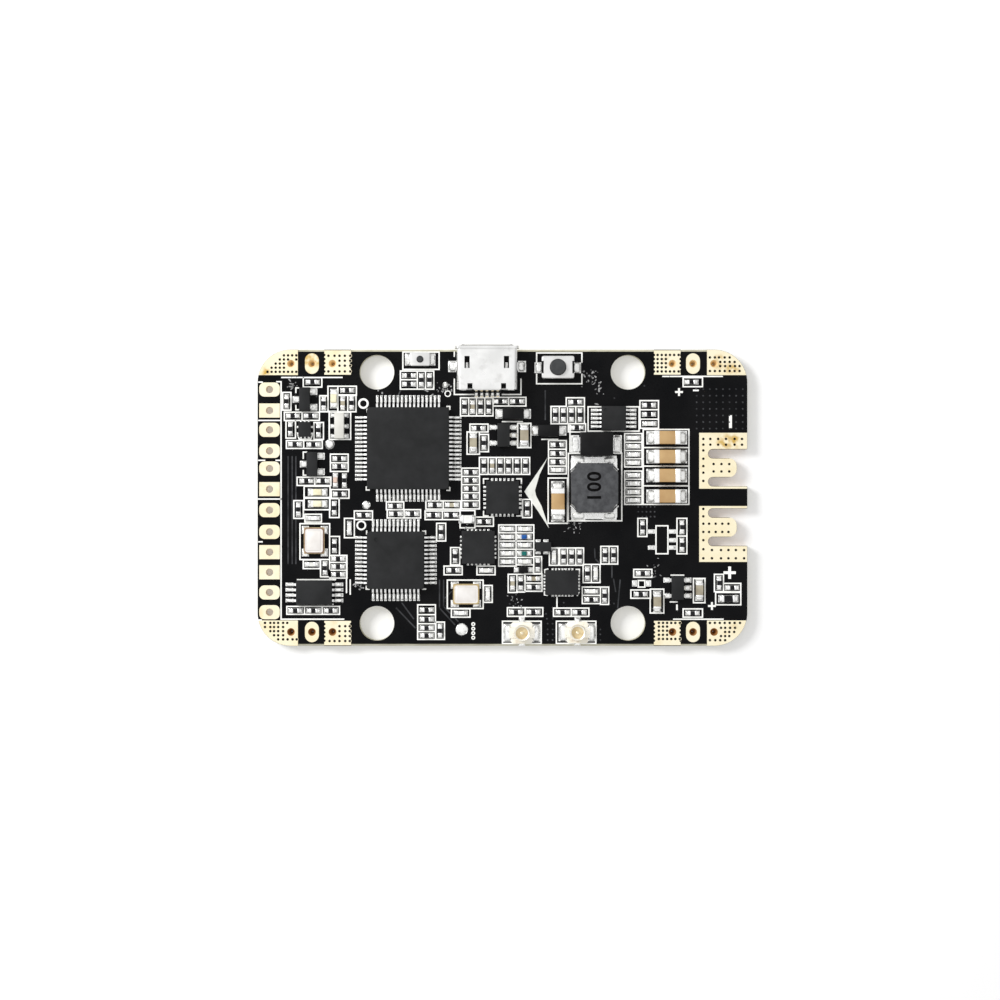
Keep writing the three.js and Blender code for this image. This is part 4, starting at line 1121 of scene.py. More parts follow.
# ---------- moulded packages with bent leads
leadSheet = 0.13
leadedPackages = {
    "main_processor": {"body": (10, 10, 1.4), "standoff": 0.1, "draft": 0.14, "toe": 6.0, "rise": 0.72,
                       "foot": 0.36, "leadWidth": 0.23, "pitch": 0.5, "sides": (16, 16, 16, 16),
                       "solder": (0.78, 0.31), "dot": None, "corner": 0.5},
    "receiver_processor": {"body": (7, 7, 1.4), "standoff": 0.1, "draft": 0.12, "toe": 4.5, "rise": 0.72,
                           "foot": 0.36, "leadWidth": 0.23, "pitch": 0.5, "sides": (12, 12, 12, 12),
                           "solder": (0.78, 0.31), "dot": (-2.3, 2.5, 0.24), "corner": 0.35},
    "step_down_regulator": {"body": (3, 3, 0.9), "standoff": 0.08, "draft": 0.1, "toe": 2.45, "rise": 0.4,
                            "foot": 0.5, "leadWidth": 0.24, "pitch": 0.5, "sides": (5, 0, 5, 0),
                            "solder": (0.75, 0.34), "dot": (-1.0, 1.0, 0.2)},
    "memory_chip": {"body": (4.4, 3, 1), "standoff": 0.08, "draft": 0.1, "toe": 3.2, "rise": 0.45,
                    "foot": 0.55, "leadWidth": 0.3, "pitch": 0.65, "sides": (4, 0, 4, 0),
                    "solder": (0.95, 0.42), "dot": (-1.7, -1.0, 0.22)},
    "transistor_1": {"body": (1.35, 2.9, 0.95), "standoff": 0.08, "draft": 0.1, "toe": 1.2, "rise": 0.42,
                     "foot": 0.3, "leadWidth": 0.44, "pitch": 1.9, "sides": (2, 0, 1, 0),
                     "solder": (0.85, 0.8), "dot": None},
    "transistor_2": {"body": (1.35, 2.9, 0.95), "standoff": 0.08, "draft": 0.1, "toe": 1.2, "rise": 0.42,
                     "foot": 0.3, "leadWidth": 0.44, "pitch": 1.9, "sides": (2, 0, 1, 0),
                     "solder": (0.85, 0.8), "dot": None},
    "linear_regulator_1": {"body": (1.55, 2.9, 1.05), "standoff": 0.08, "draft": 0.1, "toe": 1.4,
                           "rise": 0.47, "foot": 0.35, "leadWidth": 0.42, "pitch": 0.95,
                           "sides": (3, 0, 2, 0), "solder": (0.75, 0.6), "dot": None},
    "linear_regulator_2": {"body": (1.55, 2.9, 1.05), "standoff": 0.08, "draft": 0.1, "toe": 1.4,
                           "rise": 0.47, "foot": 0.35, "leadWidth": 0.42, "pitch": 0.95,
                           "sides": (3, 0, 2, 0), "solder": (0.75, 0.6), "dot": None},
}


def mouldedBlock(name, x, y, length, width, low, high, draft, bevel=0.05, corner=0.0):
    # widest at the parting line half way up
    middle = (low + high) / 2
    body = block(name, (x - length / 2, y - width / 2, low), (x + length / 2, y + width / 2, middle))
    if corner:
        roundUprights(body, corner, 5, lambda a: True)
    shrink = (1 - draft / length, 1 - draft / width, 1)
    editFaces(body, lambda centre, normal: normal.z > 0.9)
    bpy.ops.mesh.extrude_region_move(TRANSFORM_OT_translate={"value": (0, 0, (high - middle) * mm)})
    stretchPicked(shrink, (x, y, high))
    endEdit()
    editFaces(body, lambda centre, normal: normal.z < -0.9)
    stretchPicked(shrink, (x, y, low))
    endEdit()
    return soften(body, bevel, 2, 40)


def bentLead(edge, toe, rise, foot, width):
    # a flat strip drawn out along its bends, then given its thickness
    bpy.ops.object.select_all(action="DESELECT")
    heel = toe - foot
    lift = leadSheet / 2
    bpy.ops.mesh.primitive_plane_add(size=mm, location=((heel + toe) / 2 * mm, 0, lift * mm))
    strip = bpy.context.object
    strip.scale = (foot, width, 1)
    strip = placed("lead")
    editEdges(strip, lambda a, b: a.x < heel + 0.01 and b.x < heel + 0.01)
    run = heel - edge
    # heel, shank, shoulder, then the flat run that ends inside the body
    bends = [(-0.06, 0.05), (-0.2, rise - 0.14), (-0.06, 0.06), (-(run - 0.32) - 0.12, 0.02)]
    for dx, dz in bends:
        bpy.ops.mesh.extrude_region_move(TRANSFORM_OT_translate={"value": (dx * mm, 0, dz * mm)})
    endEdit()
    useModifier(strip, "SOLIDIFY", thickness=leadSheet * mm, offset=0, use_even_offset=True)
    bpy.ops.object.shade_smooth_by_angle(angle=math.radians(50))
    editFaces(strip, lambda centre, normal: True)
    bpy.ops.mesh.normals_make_consistent(inside=False)
    endEdit()
    return strip


def makeLeadedPackage(node, p):
    centre = middleOf(node)
    x, y = centre.x, centre.y
    length, width, height = p["body"]
    body = mouldedBlock(node + "_body", x, y, length, width, deck + p["standoff"], deck + height,
                        p["draft"], 0.05, p.get("corner", 0.0))
    if p["dot"]:
        dx, dy, radius = p["dot"]
        carve(body, drum("dot", x + dx, y + dy, radius, deck + height - 0.09, deck + height + 1, 32))
        bpy.ops.object.shade_smooth_by_angle(angle=math.radians(35))
    leads = []
    for side, count in enumerate(p["sides"]):
        if count == 0:
            continue
        turn = side * quarter
        edge = (length if side % 2 == 0 else width) / 2
        toe = p["toe"]
        lead = bentLead(edge, toe, p["rise"], p["foot"], p["leadWidth"])
        pitch = p["pitch"] if count != 2 or p["pitch"] > 1 else 2 * p["pitch"]
        for i in range(count):
            along = (i - (count - 1) / 2) * pitch
            lx = x - along * math.sin(turn)
            ly = y + along * math.cos(turn)
            leads.append(copyOf(lead, lx, ly, deck, turn))
            reach, breadth = p["solder"]
            sx, sy = outward(lx, ly, turn, edge + 1.45 - reach / 2 if count > 11 else toe + 0.3 - reach / 2)
            addSolder(sx, sy, reach, breadth, 0.2, turn)
        discard(lead)
    done(body, paint["epoxy"], "chip_epoxy", node)
    done(joined(node + "_leads", leads), paint["tin"], "tin", node)


for node, values in leadedPackages.items():
    makeLeadedPackage(node, values)
print("leaded packages ready")


# ---------- leadless packages
leadlessPackages = {  # pads: side (0 right, 1 top, 2 left, 3 bottom), how many, pitch, shift along the side
    "radio_transceiver": {"pads": ((0, 6, 0.5, 0), (1, 6, 0.5, 0), (2, 6, 0.5, 0), (3, 6, 0.5, 0)),
                          "padSize": (0.5, 0.28), "reach": 0.27, "dot": (-1.5, 1.5, 0.14)},
    "motion_sensor": {"pads": ((0, 6, 0.5, 0), (1, 6, 0.5, 0), (2, 6, 0.5, 0), (3, 6, 0.5, 0)),
                      "padSize": (0.4, 0.27), "reach": 0.14, "dot": (-1.45, 1.45, 0.16)},
    "radio_front_end": {"pads": ((0, 5, 0.4, 0), (1, 7, 0.4, 0.1), (2, 5, 0.4, 0), (3, 7, 0.4, 0.1)),
                        "padSize": (0.36, 0.27), "reach": 0.16, "dot": None},
    "pressure_sensor": {"pads": ((1, 3, 0.47, 0), (0, 2, 0.8, -0.1), (2, 2, 0.8, -0.1), (3, 3, 0.47, 0)),
                        "padSize": (0.34, 0.26), "reach": 0.2, "dot": None},
    "radio_switch": {"pads": ((1, 2, 0.95, -0.15), (3, 2, 0.95, -0.15)),
                     "padSize": (0.5, 0.62), "reach": 0.26, "dot": None},
}


def makeLeadlessPackage(node, p):
    low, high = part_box(node)
    low, high = low / mm, high / mm
    x, y = (low.x + high.x) / 2, (low.y + high.y) / 2
    body = block(node + "_body", (low.x, low.y, deck + 0.04), (high.x, high.y, high.z))
    soften(body, 0.035, 2, 40)
    if p["dot"]:
        dx, dy, radius = p["dot"]
        carve(body, drum("dot", x + dx, y + dy, radius, high.z - 0.03, high.z + 1, 20))
        bpy.ops.object.shade_smooth_by_angle(angle=math.radians(35))
    lands = []
    flatPad = block("land", (-0.5, -0.5, 0), (0.5, 0.5, 1))
    padLength, padWidth = p["padSize"]
    for side, count, pitch, shift in p["pads"]:
        turn = side * quarter
        half = (high.x - low.x if side % 2 == 0 else high.y - low.y) / 2
        for i in range(count):
            along = (i - (count - 1) / 2) * pitch + shift
            ax = x + (0 if side % 2 == 0 else along)
            ay = y + (along if side % 2 == 0 else 0)
            sx, sy = outward(ax, ay, turn, half + p["reach"] - padLength / 2 + 0.05)
            addSolder(sx, sy, padLength, padWidth, 0.16, turn)
            lx, ly = outward(ax, ay, turn, half - 0.12)
            lands.append(copyOf(flatPad, lx, ly, deck + 0.03, turn, (0.26, padWidth * 0.75, 0.2)))
    discard(flatPad)
    done(body, paint["epoxy"], "chip_epoxy", node)
    done(joined(node + "_lands", lands), paint["tin"], "tin", node)


for node, values in leadlessPackages.items():
    makeLeadlessPackage(node, values)
print("leadless packages ready")


# ---------- diodes
diodes = {
    "schottky_diode": {"body": (4.0, 2.9, 2.1), "span": 5.6, "terminal": 1.7,
                       "solder": (1.0, 2.2)},
    "diode_1": {"body": (2.6, 1.4, 1.05), "span": 3.7, "terminal": 0.6, "solder": (1.0, 1.15)},
    "diode_2": {"body": (2.6, 1.5, 1.05), "span": 3.7, "terminal": 0.6, "solder": (1.0, 1.15)},
    "diode_3": {"body": (1.15, 0.8, 0.75), "span": 1.7, "terminal": 0.32,
                "solder": (0.55, 0.6)},
}


def makeDiode(node, p):
    centre = middleOf(node)
    x, y = centre.x, centre.y
    length, width, height = p["body"]
    body = mouldedBlock(node + "_body", x, y, length, width, deck + 0.05, deck + height, 0.14, 0.06)
    tabs = []
    sheet = 0.18
    for side in (-1, 1):
        inner, outer = x + side * (length / 2 - 0.35), x + side * p["span"] / 2
        half = p["terminal"] / 2
        tab = block("tab", (min(inner, outer), y - half, deck), (max(inner, outer), y + half, deck + sheet))
        tabs.append(soften(tab, 0.03, 1, 40))
        reach, breadth = p["solder"]
        addSolder(x + side * (p["span"] / 2 + 0.3 - reach / 2), y, reach, breadth, 0.2,
                  0 if side > 0 else math.pi)
    done(body, paint["epoxyBlack"], "chip_epoxy", node)
    done(joined(node + "_terminals", tabs), paint["tin"], "tin", node)


for node, values in diodes.items():
    makeDiode(node, values)
print("diodes ready")


# ---------- power inductor
choke = {
    "notch": (0.58, 1.0),
    "slant": 0.4,
    "mark": "100",
    "markSize": 2.3,
}


def makeInductor():
    low, high = (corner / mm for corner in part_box("inductor_core"))
    x, y = (low.x + high.x) / 2, (low.y + high.y) / 2
    core = block("inductorCore", tuple(low), tuple(high))
    across, down = choke["notch"]
    for sx in (-1, 1):
        for sy in (-1, 1):  # notched corners, each with a slanted inner edge
            xs = sorted((x + sx * (high.x - x - across), x + sx * 9))
            ys = sorted((y + sy * (high.y - y - down), y + sy * 9))
            corner = block("notch", (xs[0], ys[0], low.z - 1), (xs[1], ys[1], high.z + 1))
            inner = min(xs, key=lambda v: abs(v - x))
            roundUprights(corner, choke["slant"], 1,
                          lambda a: abs(a.x - inner) < 0.01 and abs(a.y - y) < high.y - y)
            carve(core, corner)
    soften(core, 0.1, 3, 40)
    done(core, paint["ferrite"], "ferrite", "inductor_core")

    bpy.ops.object.select_all(action="DESELECT")
    bpy.ops.object.text_add(location=(x * mm, (y + 0.1) * mm, (high.z + 0.004) * mm),
                            rotation=(0, 0, quarter))
    mark = bpy.context.object
    mark.data.body = choke["mark"]
    mark.data.size = choke["markSize"] * mm
    mark.data.align_x = "CENTER"
    mark.data.align_y = "CENTER"
    mark.data.space_character = 1.1
    mark.data.offset = 0.05 * mm
    mark.data.extrude = 0.004 * mm
    bpy.ops.object.convert(target="MESH")
    done(placed("inductorMark"), paint["ferriteMark"], "ferrite")

    clips = []
    for node, side in (("inductor_terminal_1", 1), ("inductor_terminal_2", -1)):
        tLow, tHigh = (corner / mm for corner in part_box(node))
        outer = tHigh.y if side > 0 else tLow.y
        wall = high.y if side > 0 else low.y
        ys = sorted((wall - side * 1.2, outer))
        foot = block("foot", (tLow.x, ys[0], deck), (tHigh.x, ys[1], deck + 0.15))
        roundUprights(foot, 0.35, 3, lambda a: abs(a.y - outer) < 0.01)
        soften(foot, 0.04, 1, 40)
        ys = sorted((wall + side * 0.02, wall + side * 0.16))
        back = block("back", (x - 1.6, ys[0], deck + 0.1), (x + 1.6, ys[1], deck + 1.5))
        soften(back, 0.05, 2, 40)
        clips += [foot, back]
        for sx in (-1, 1):  # ears that fold up in the chamfered corners
            ear = block("ear", (-0.6, -0.07, 0), (0.6, 0.07, 1.9))
            soften(ear, 0.05, 2, 40)
            turn = quarter * (-side * sx) / 2
            cx, cy = x + sx * (high.x - x - 0.36), y + side * (high.y - y - 0.36)
            clips.append(copyOf(ear, cx, cy, deck + 0.1, turn))
            discard(ear)
        addSolder(x - 1.9, y + side * (high.y - y + 0.5), 0.9, 1.7, 0.35, side * quarter)
        addSolder(x + 1.9, y + side * (high.y - y + 0.5), 0.9, 1.7, 0.35, side * quarter)
    done(joined("inductorTerminals", clips), paint["tin"], "tin", "inductor_terminal_1",
         "inductor_terminal_2")


makeInductor()
print("inductor ready")


# ---------- large ceramic capacitors
largeCap = {"end": 0.66, "bevel": 0.09}


def makeLargeCapacitors():
    bodies = []
    caps = []
    names = ["bulk_capacitor_1", "bulk_capacitor_2", "bulk_capacitor_3", "bulk_capacitor_4",
             "filter_capacitor"]
    for node in names:
        low, high = (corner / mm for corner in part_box(node))
        x, y = (low.x + high.x) / 2, (low.y + high.y) / 2
        turn = 0 if high.x - low.x > high.y - low.y else quarter
        length = max(high.x - low.x, high.y - low.y)
        width = min(high.x - low.x, high.y - low.y)
        height = high.z - deck
        middle = block("capBody", (-length / 2 + 0.3, -width / 2 + 0.03, 0.03),
                       (length / 2 - 0.3, width / 2 - 0.03, height - 0.03))
        soften(middle, largeCap["bevel"], 2, 40)
        bodies.append(copyOf(middle, x, y, deck, turn))
        discard(middle)
        for side in (0, math.pi):
            cap = block("capEnd", (length / 2 - largeCap["end"], -width / 2, 0),
                        (length / 2, width / 2, height))
            soften(cap, largeCap["bevel"], 3, 40)
            caps.append(copyOf(cap, x, y, deck, turn + side))
            discard(cap)
            sx, sy = outward(x, y, turn + side, length / 2 + 0.42)
            addSolder(sx, sy, 0.9, width * 0.98, 0.95, turn + side)
    done(joined("largeCapacitorBodies", bodies), paint["capTan"], "ceramic", *names)
    done(joined("largeCapacitorEnds", caps), paint["tin"], "tin", *names)


makeLargeCapacitors()
print("large capacitors ready")


# ---------- crystals and resonator
crystal = {"rim": 0.2, "step": 0.05, "corner": 0.28}


def makeCrystal(name, number, rim):
    baseNode, lidNode = f"crystal_{number}_base", f"crystal_{number}_lid"
    low, high = (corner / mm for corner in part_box(baseNode))
    base = block(name + "Base", tuple(low), tuple(high))
    roundUprights(base, 0.15, 3, lambda a: True)
    soften(base, 0.03, 1, 40)
    done(base, paint["crystalBase"], "crystal_base", baseNode)
    low, high = (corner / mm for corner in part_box(lidNode))
    seam = block(name + "Seam", (low.x - 0.1, low.y - 0.1, low.z),
                 (high.x + 0.1, high.y + 0.1, low.z + 0.1))
    roundUprights(seam, crystal["corner"], 4, lambda a: True)
    soften(seam, 0.03, 1, 40)
    done(seam, paint[rim], "gold", lidNode)
    lid = block(name + "Lid", (low.x, low.y, low.z + 0.08), tuple(high))
    roundUprights(lid, crystal["corner"], 4, lambda a: True)
    editFaces(lid, lambda centre, normal: normal.z > 0.9)
    bpy.ops.mesh.inset(thickness=crystal["rim"] * mm)
    bpy.ops.transform.translate(value=(0, 0, -crystal["step"] * mm))
    bpy.ops.mesh.inset(thickness=0.06 * mm)
    bpy.ops.transform.translate(value=(0, 0, crystal["step"] * 0.8 * mm))
    endEdit()
    soften(lid, 0.025, 2, 30)
    done(lid, paint["crystalLid"], "steel", lidNode)


makeCrystal("crystalOne", 1, "crystalBrown")
makeCrystal("crystalTwo", 2, "crystalRim")


def makeResonator():
    low, high = (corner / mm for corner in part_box("ceramic_resonator"))
    case = block("resonatorCase", (low.x, low.y, deck + 0.04), tuple(high))
    soften(case, 0.06, 2, 40)
    done(case, paint["resonator"], "ceramic", "ceramic_resonator")
    for y in (10.0, 8.7, 7.5):
        addSolder(high.x + 0.22, y, 0.6, 0.5, 0.4, 0)
        addSolder(low.x - 0.22, y, 0.6, 0.5, 0.4, math.pi)


makeResonator()
print("crystals and resonator ready")


# ---------- antenna sockets
socket = {
    "ringRadius": 1.0,
    "ringBore": 0.84,
    "strapWidth": 1.3,
    "pinRadius": 0.2,
    "floorLift": 0.3,
    # share of the wall's rise, then how much the ring narrows or widens there
    "wallSteps": ((0.34, 1), (0.08, 0.93), (0.1, 0.93), (0.08, 1 / 0.93), (0.32, 1), (0.08, 0.97)),
    "seatRadius": 0.34,
}


def makeAntennaSocket(name, number):
    nodes = [f"antenna_socket_{number}_{part}" for part in ("base", "ring", "pin")]
    low, high = (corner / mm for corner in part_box(nodes[0]))
    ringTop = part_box(nodes[1])[1].z / mm
    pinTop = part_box(nodes[2])[1].z / mm
    x, y = (low.x + high.x) / 2, (low.y + high.y) / 2

    base = block(name + "Base", tuple(low), tuple(high))
    roundUprights(base, 0.3, 3, lambda a: True)
    soften(base, 0.05, 2, 40)
    done(base, paint["cream"], "cream_plastic", nodes[0])

    bpy.ops.object.select_all(action="DESELECT")
    bpy.ops.mesh.primitive_circle_add(vertices=40, radius=socket["ringRadius"] * mm,
                                      location=(x * mm, y * mm, high.z * mm))
    wall = placed(name + "Ring")
    editEdges(wall, lambda a, b: True)
    rise = ringTop - high.z
    for share, widen in socket["wallSteps"]:
        bpy.ops.mesh.extrude_region_move(TRANSFORM_OT_translate={"value": (0, 0, share * rise * mm)})
        now = max(c.co.z for c in wall.data.vertices)
        stretchPicked((widen, widen, 1), (x, y, now / mm))
    endEdit()
    useModifier(wall, "SOLIDIFY", thickness=(socket["ringRadius"] - socket["ringBore"]) * mm, offset=-1)
    bpy.ops.object.shade_smooth_by_angle(angle=math.radians(40))
    floor = drum("socketFloor", x, y, socket["ringRadius"] - 0.02, high.z - 0.02,
                 high.z + socket["floorLift"] * rise, 40)
    half = socket["strapWidth"] / 2
    strapOuter = (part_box(nodes[1])[1].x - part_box(nodes[1])[0].x) / 2 / mm
    strap = block("strap", (x - strapOuter, y - half, high.z), (x + strapOuter, y + half, high.z + 0.1))
    soften(strap, 0.03, 1, 40)
    legs = []
    for side in (-1, 1):
        xs = sorted((x + side * (strapOuter - 0.12), x + side * strapOuter))
        legs.append(soften(block("leg", (xs[0], y - half, deck + 0.02), (xs[1], y + half, high.z + 0.06)),
                           0.02, 1, 40))
    cutter = drum("strapBore", x, y, socket["ringBore"], high.z - 1, high.z + 1, 40)
    carve(strap, cutter)
    done(joined(name + "Ring", [wall, strap, *legs]), paint["socketPale"], "gold", nodes[1])

    pin = drum(name + "Pin", x, y, socket["pinRadius"], high.z, pinTop, 20)
    editFaces(pin, lambda centre, normal: normal.z > 0.9)
    bpy.ops.mesh.bevel(offset=0.09 * mm, segments=3, affect="EDGES")
    endEdit()
    # the bowl's floor and the seat round the pin take the darker tan: painted shade at the bottom of the cup
    # and round the pin's foot
    seat = drum("pinSeat", x, y, socket["seatRadius"], high.z + 0.06,
                high.z + socket["floorLift"] * rise + 0.06, 24)
    soften(seat, 0.05, 2, 40)
    done(joined(name + "Bowl", [floor, seat]), paint["socketTanAndShade"], "gold", nodes[1])
    pick(pin)
    bpy.ops.object.shade_smooth_by_angle(angle=math.radians(40))
    done(pin, paint["socketGold"], "gold", nodes[2])

    for side in (-1, 1):
        addSolder(x + side * 1.78, y, 1.0, 2.15, 0.4, 0 if side > 0 else math.pi)
    addSolder(x, y + 1.55, 0.75, 0.7, 0.32, quarter)
    addSolder(x, y - 1.38, 0.4, 0.75, 0.25, -quarter)


makeAntennaSocket("socketOne", 1)
makeAntennaSocket("socketTwo", 2)
print("antenna sockets ready")


# ---------- indicator lamps
lamps = {
    "blue_lamp": {"lens": "lampBlue", "slot": "lamp_blue", "length": 1.0, "width": 0.55, "turn": 0},
    "green_lamp": {"lens": "lampTeal", "slot": "lamp_green", "length": 1.0, "width": 0.55, "turn": 0},
    "power_lamp": {"lens": "lampPale", "slot": "lamp_white", "length": 1.6, "width": 0.8, "turn": quarter},
}
lampShape = {
    "trayTop": 0.2,
    "lensShare": 0.32,
    "lensTop": 0.48,
    "endShare": 0.33,
    "endTop": 0.25,
}
plainLamps = [  # x, y, length, width, turn, resin
    (-22.45, 0.68, 1.6, 0.8, 0, "lampPale"), (-22.45, -0.73, 1.6, 0.8, 0, "lampPale"),
    (-20.3, 2.15, 1.0, 0.55, quarter, "lampPink"),
]


def makeLamp(name, x, y, length, width, turn, resin, slotName, *nodes):
    lensTop = lampShape["lensTop"]
    reach = length * lampShape["lensShare"]
    tray = block("tray", (-length / 2, -width / 2, 0.02), (length / 2, width / 2, lampShape["trayTop"]))
    lens = block("lens", (-reach, -width / 2 + 0.01, 0.18), (reach, width / 2 - 0.01, lensTop))
    editFaces(lens, lambda centre, normal: normal.z > 0.9)
    stretchPicked((0.86, 0.84, 1), (0, 0, lensTop))
    endEdit()
    soften(lens, 0.05, 3, 40)
    done(copyLamp(lens, name + "Lens", x, y, turn), paint[resin], slotName, *nodes)
    caps = []
    for side in (-1, 1):
        xs = sorted((side * length * lampShape["endShare"], side * length / 2))
        cap = block("lampEnd", (xs[0], -width / 2 - 0.01, 0), (xs[1], width / 2 + 0.01, lampShape["endTop"]))
        caps.append(soften(cap, 0.04, 1, 40))
        sx, sy = outward(x, y, turn + (0 if side > 0 else math.pi), length / 2 + 0.17)
        addSolder(sx, sy, 0.42, width + 0.06, 0.28, turn + (0 if side > 0 else math.pi))
    done(copyLamp(joined("lampEnds", caps), name + "Ends", x, y, turn), paint["tin"], "tin", *nodes)
    done(copyLamp(tray, name + "Tray", x, y, turn), paint["capWhite"], "ceramic", *nodes)


def copyLamp(piece, name, x, y, turn):
    twin = copyOf(piece, x, y, deck, turn)
    twin.name = name
    discard(piece)
    return twin


for node, p in lamps.items():
    centre = middleOf(node)
    makeLamp(node, centre.x, centre.y, p["length"], p["width"], p["turn"], p["lens"], p["slot"], node)
for count, (x, y, length, width, turn, resin) in enumerate(plainLamps):
    makeLamp(f"plainLamp{count + 1}", x, y, length, width, turn, resin, "lamp_white")
print("lamps ready")


# ---------- micro USB socket
usb = {
    "rearY": 13.1,
    "mouthY": 18.45,
    "width": 7.3,
    "bottomWidth": 5.5,
    "height": 2.6,
    "sideHeight": 1.5,
    "wall": 0.28,
    "corner": 0.45,
    "bottomCorner": 0.25,
    "lip": 0.22,
    "lipLength": 0.4,
    "roofShort": 0.42,
    "slotSize": (0.62, 1.46),
    "slotY": 16.35,
    "slotX": (-2.4, 2.35),
    "rearSlotX": (-2.05, 2.0),
    "rearSlotHalf": 0.3,
    "rearSlotEnd": 13.8,
    "slitX": (3.36, 3.5),
    "slitEnd": 14.05,
    "latchHalf": 0.16,
    "latchY": (15.62, 16.35),
    "latchDrop": 0.45,
    "anchorY": (15.4, 16.4),
    "foldY": (12.98, 13.14),
}


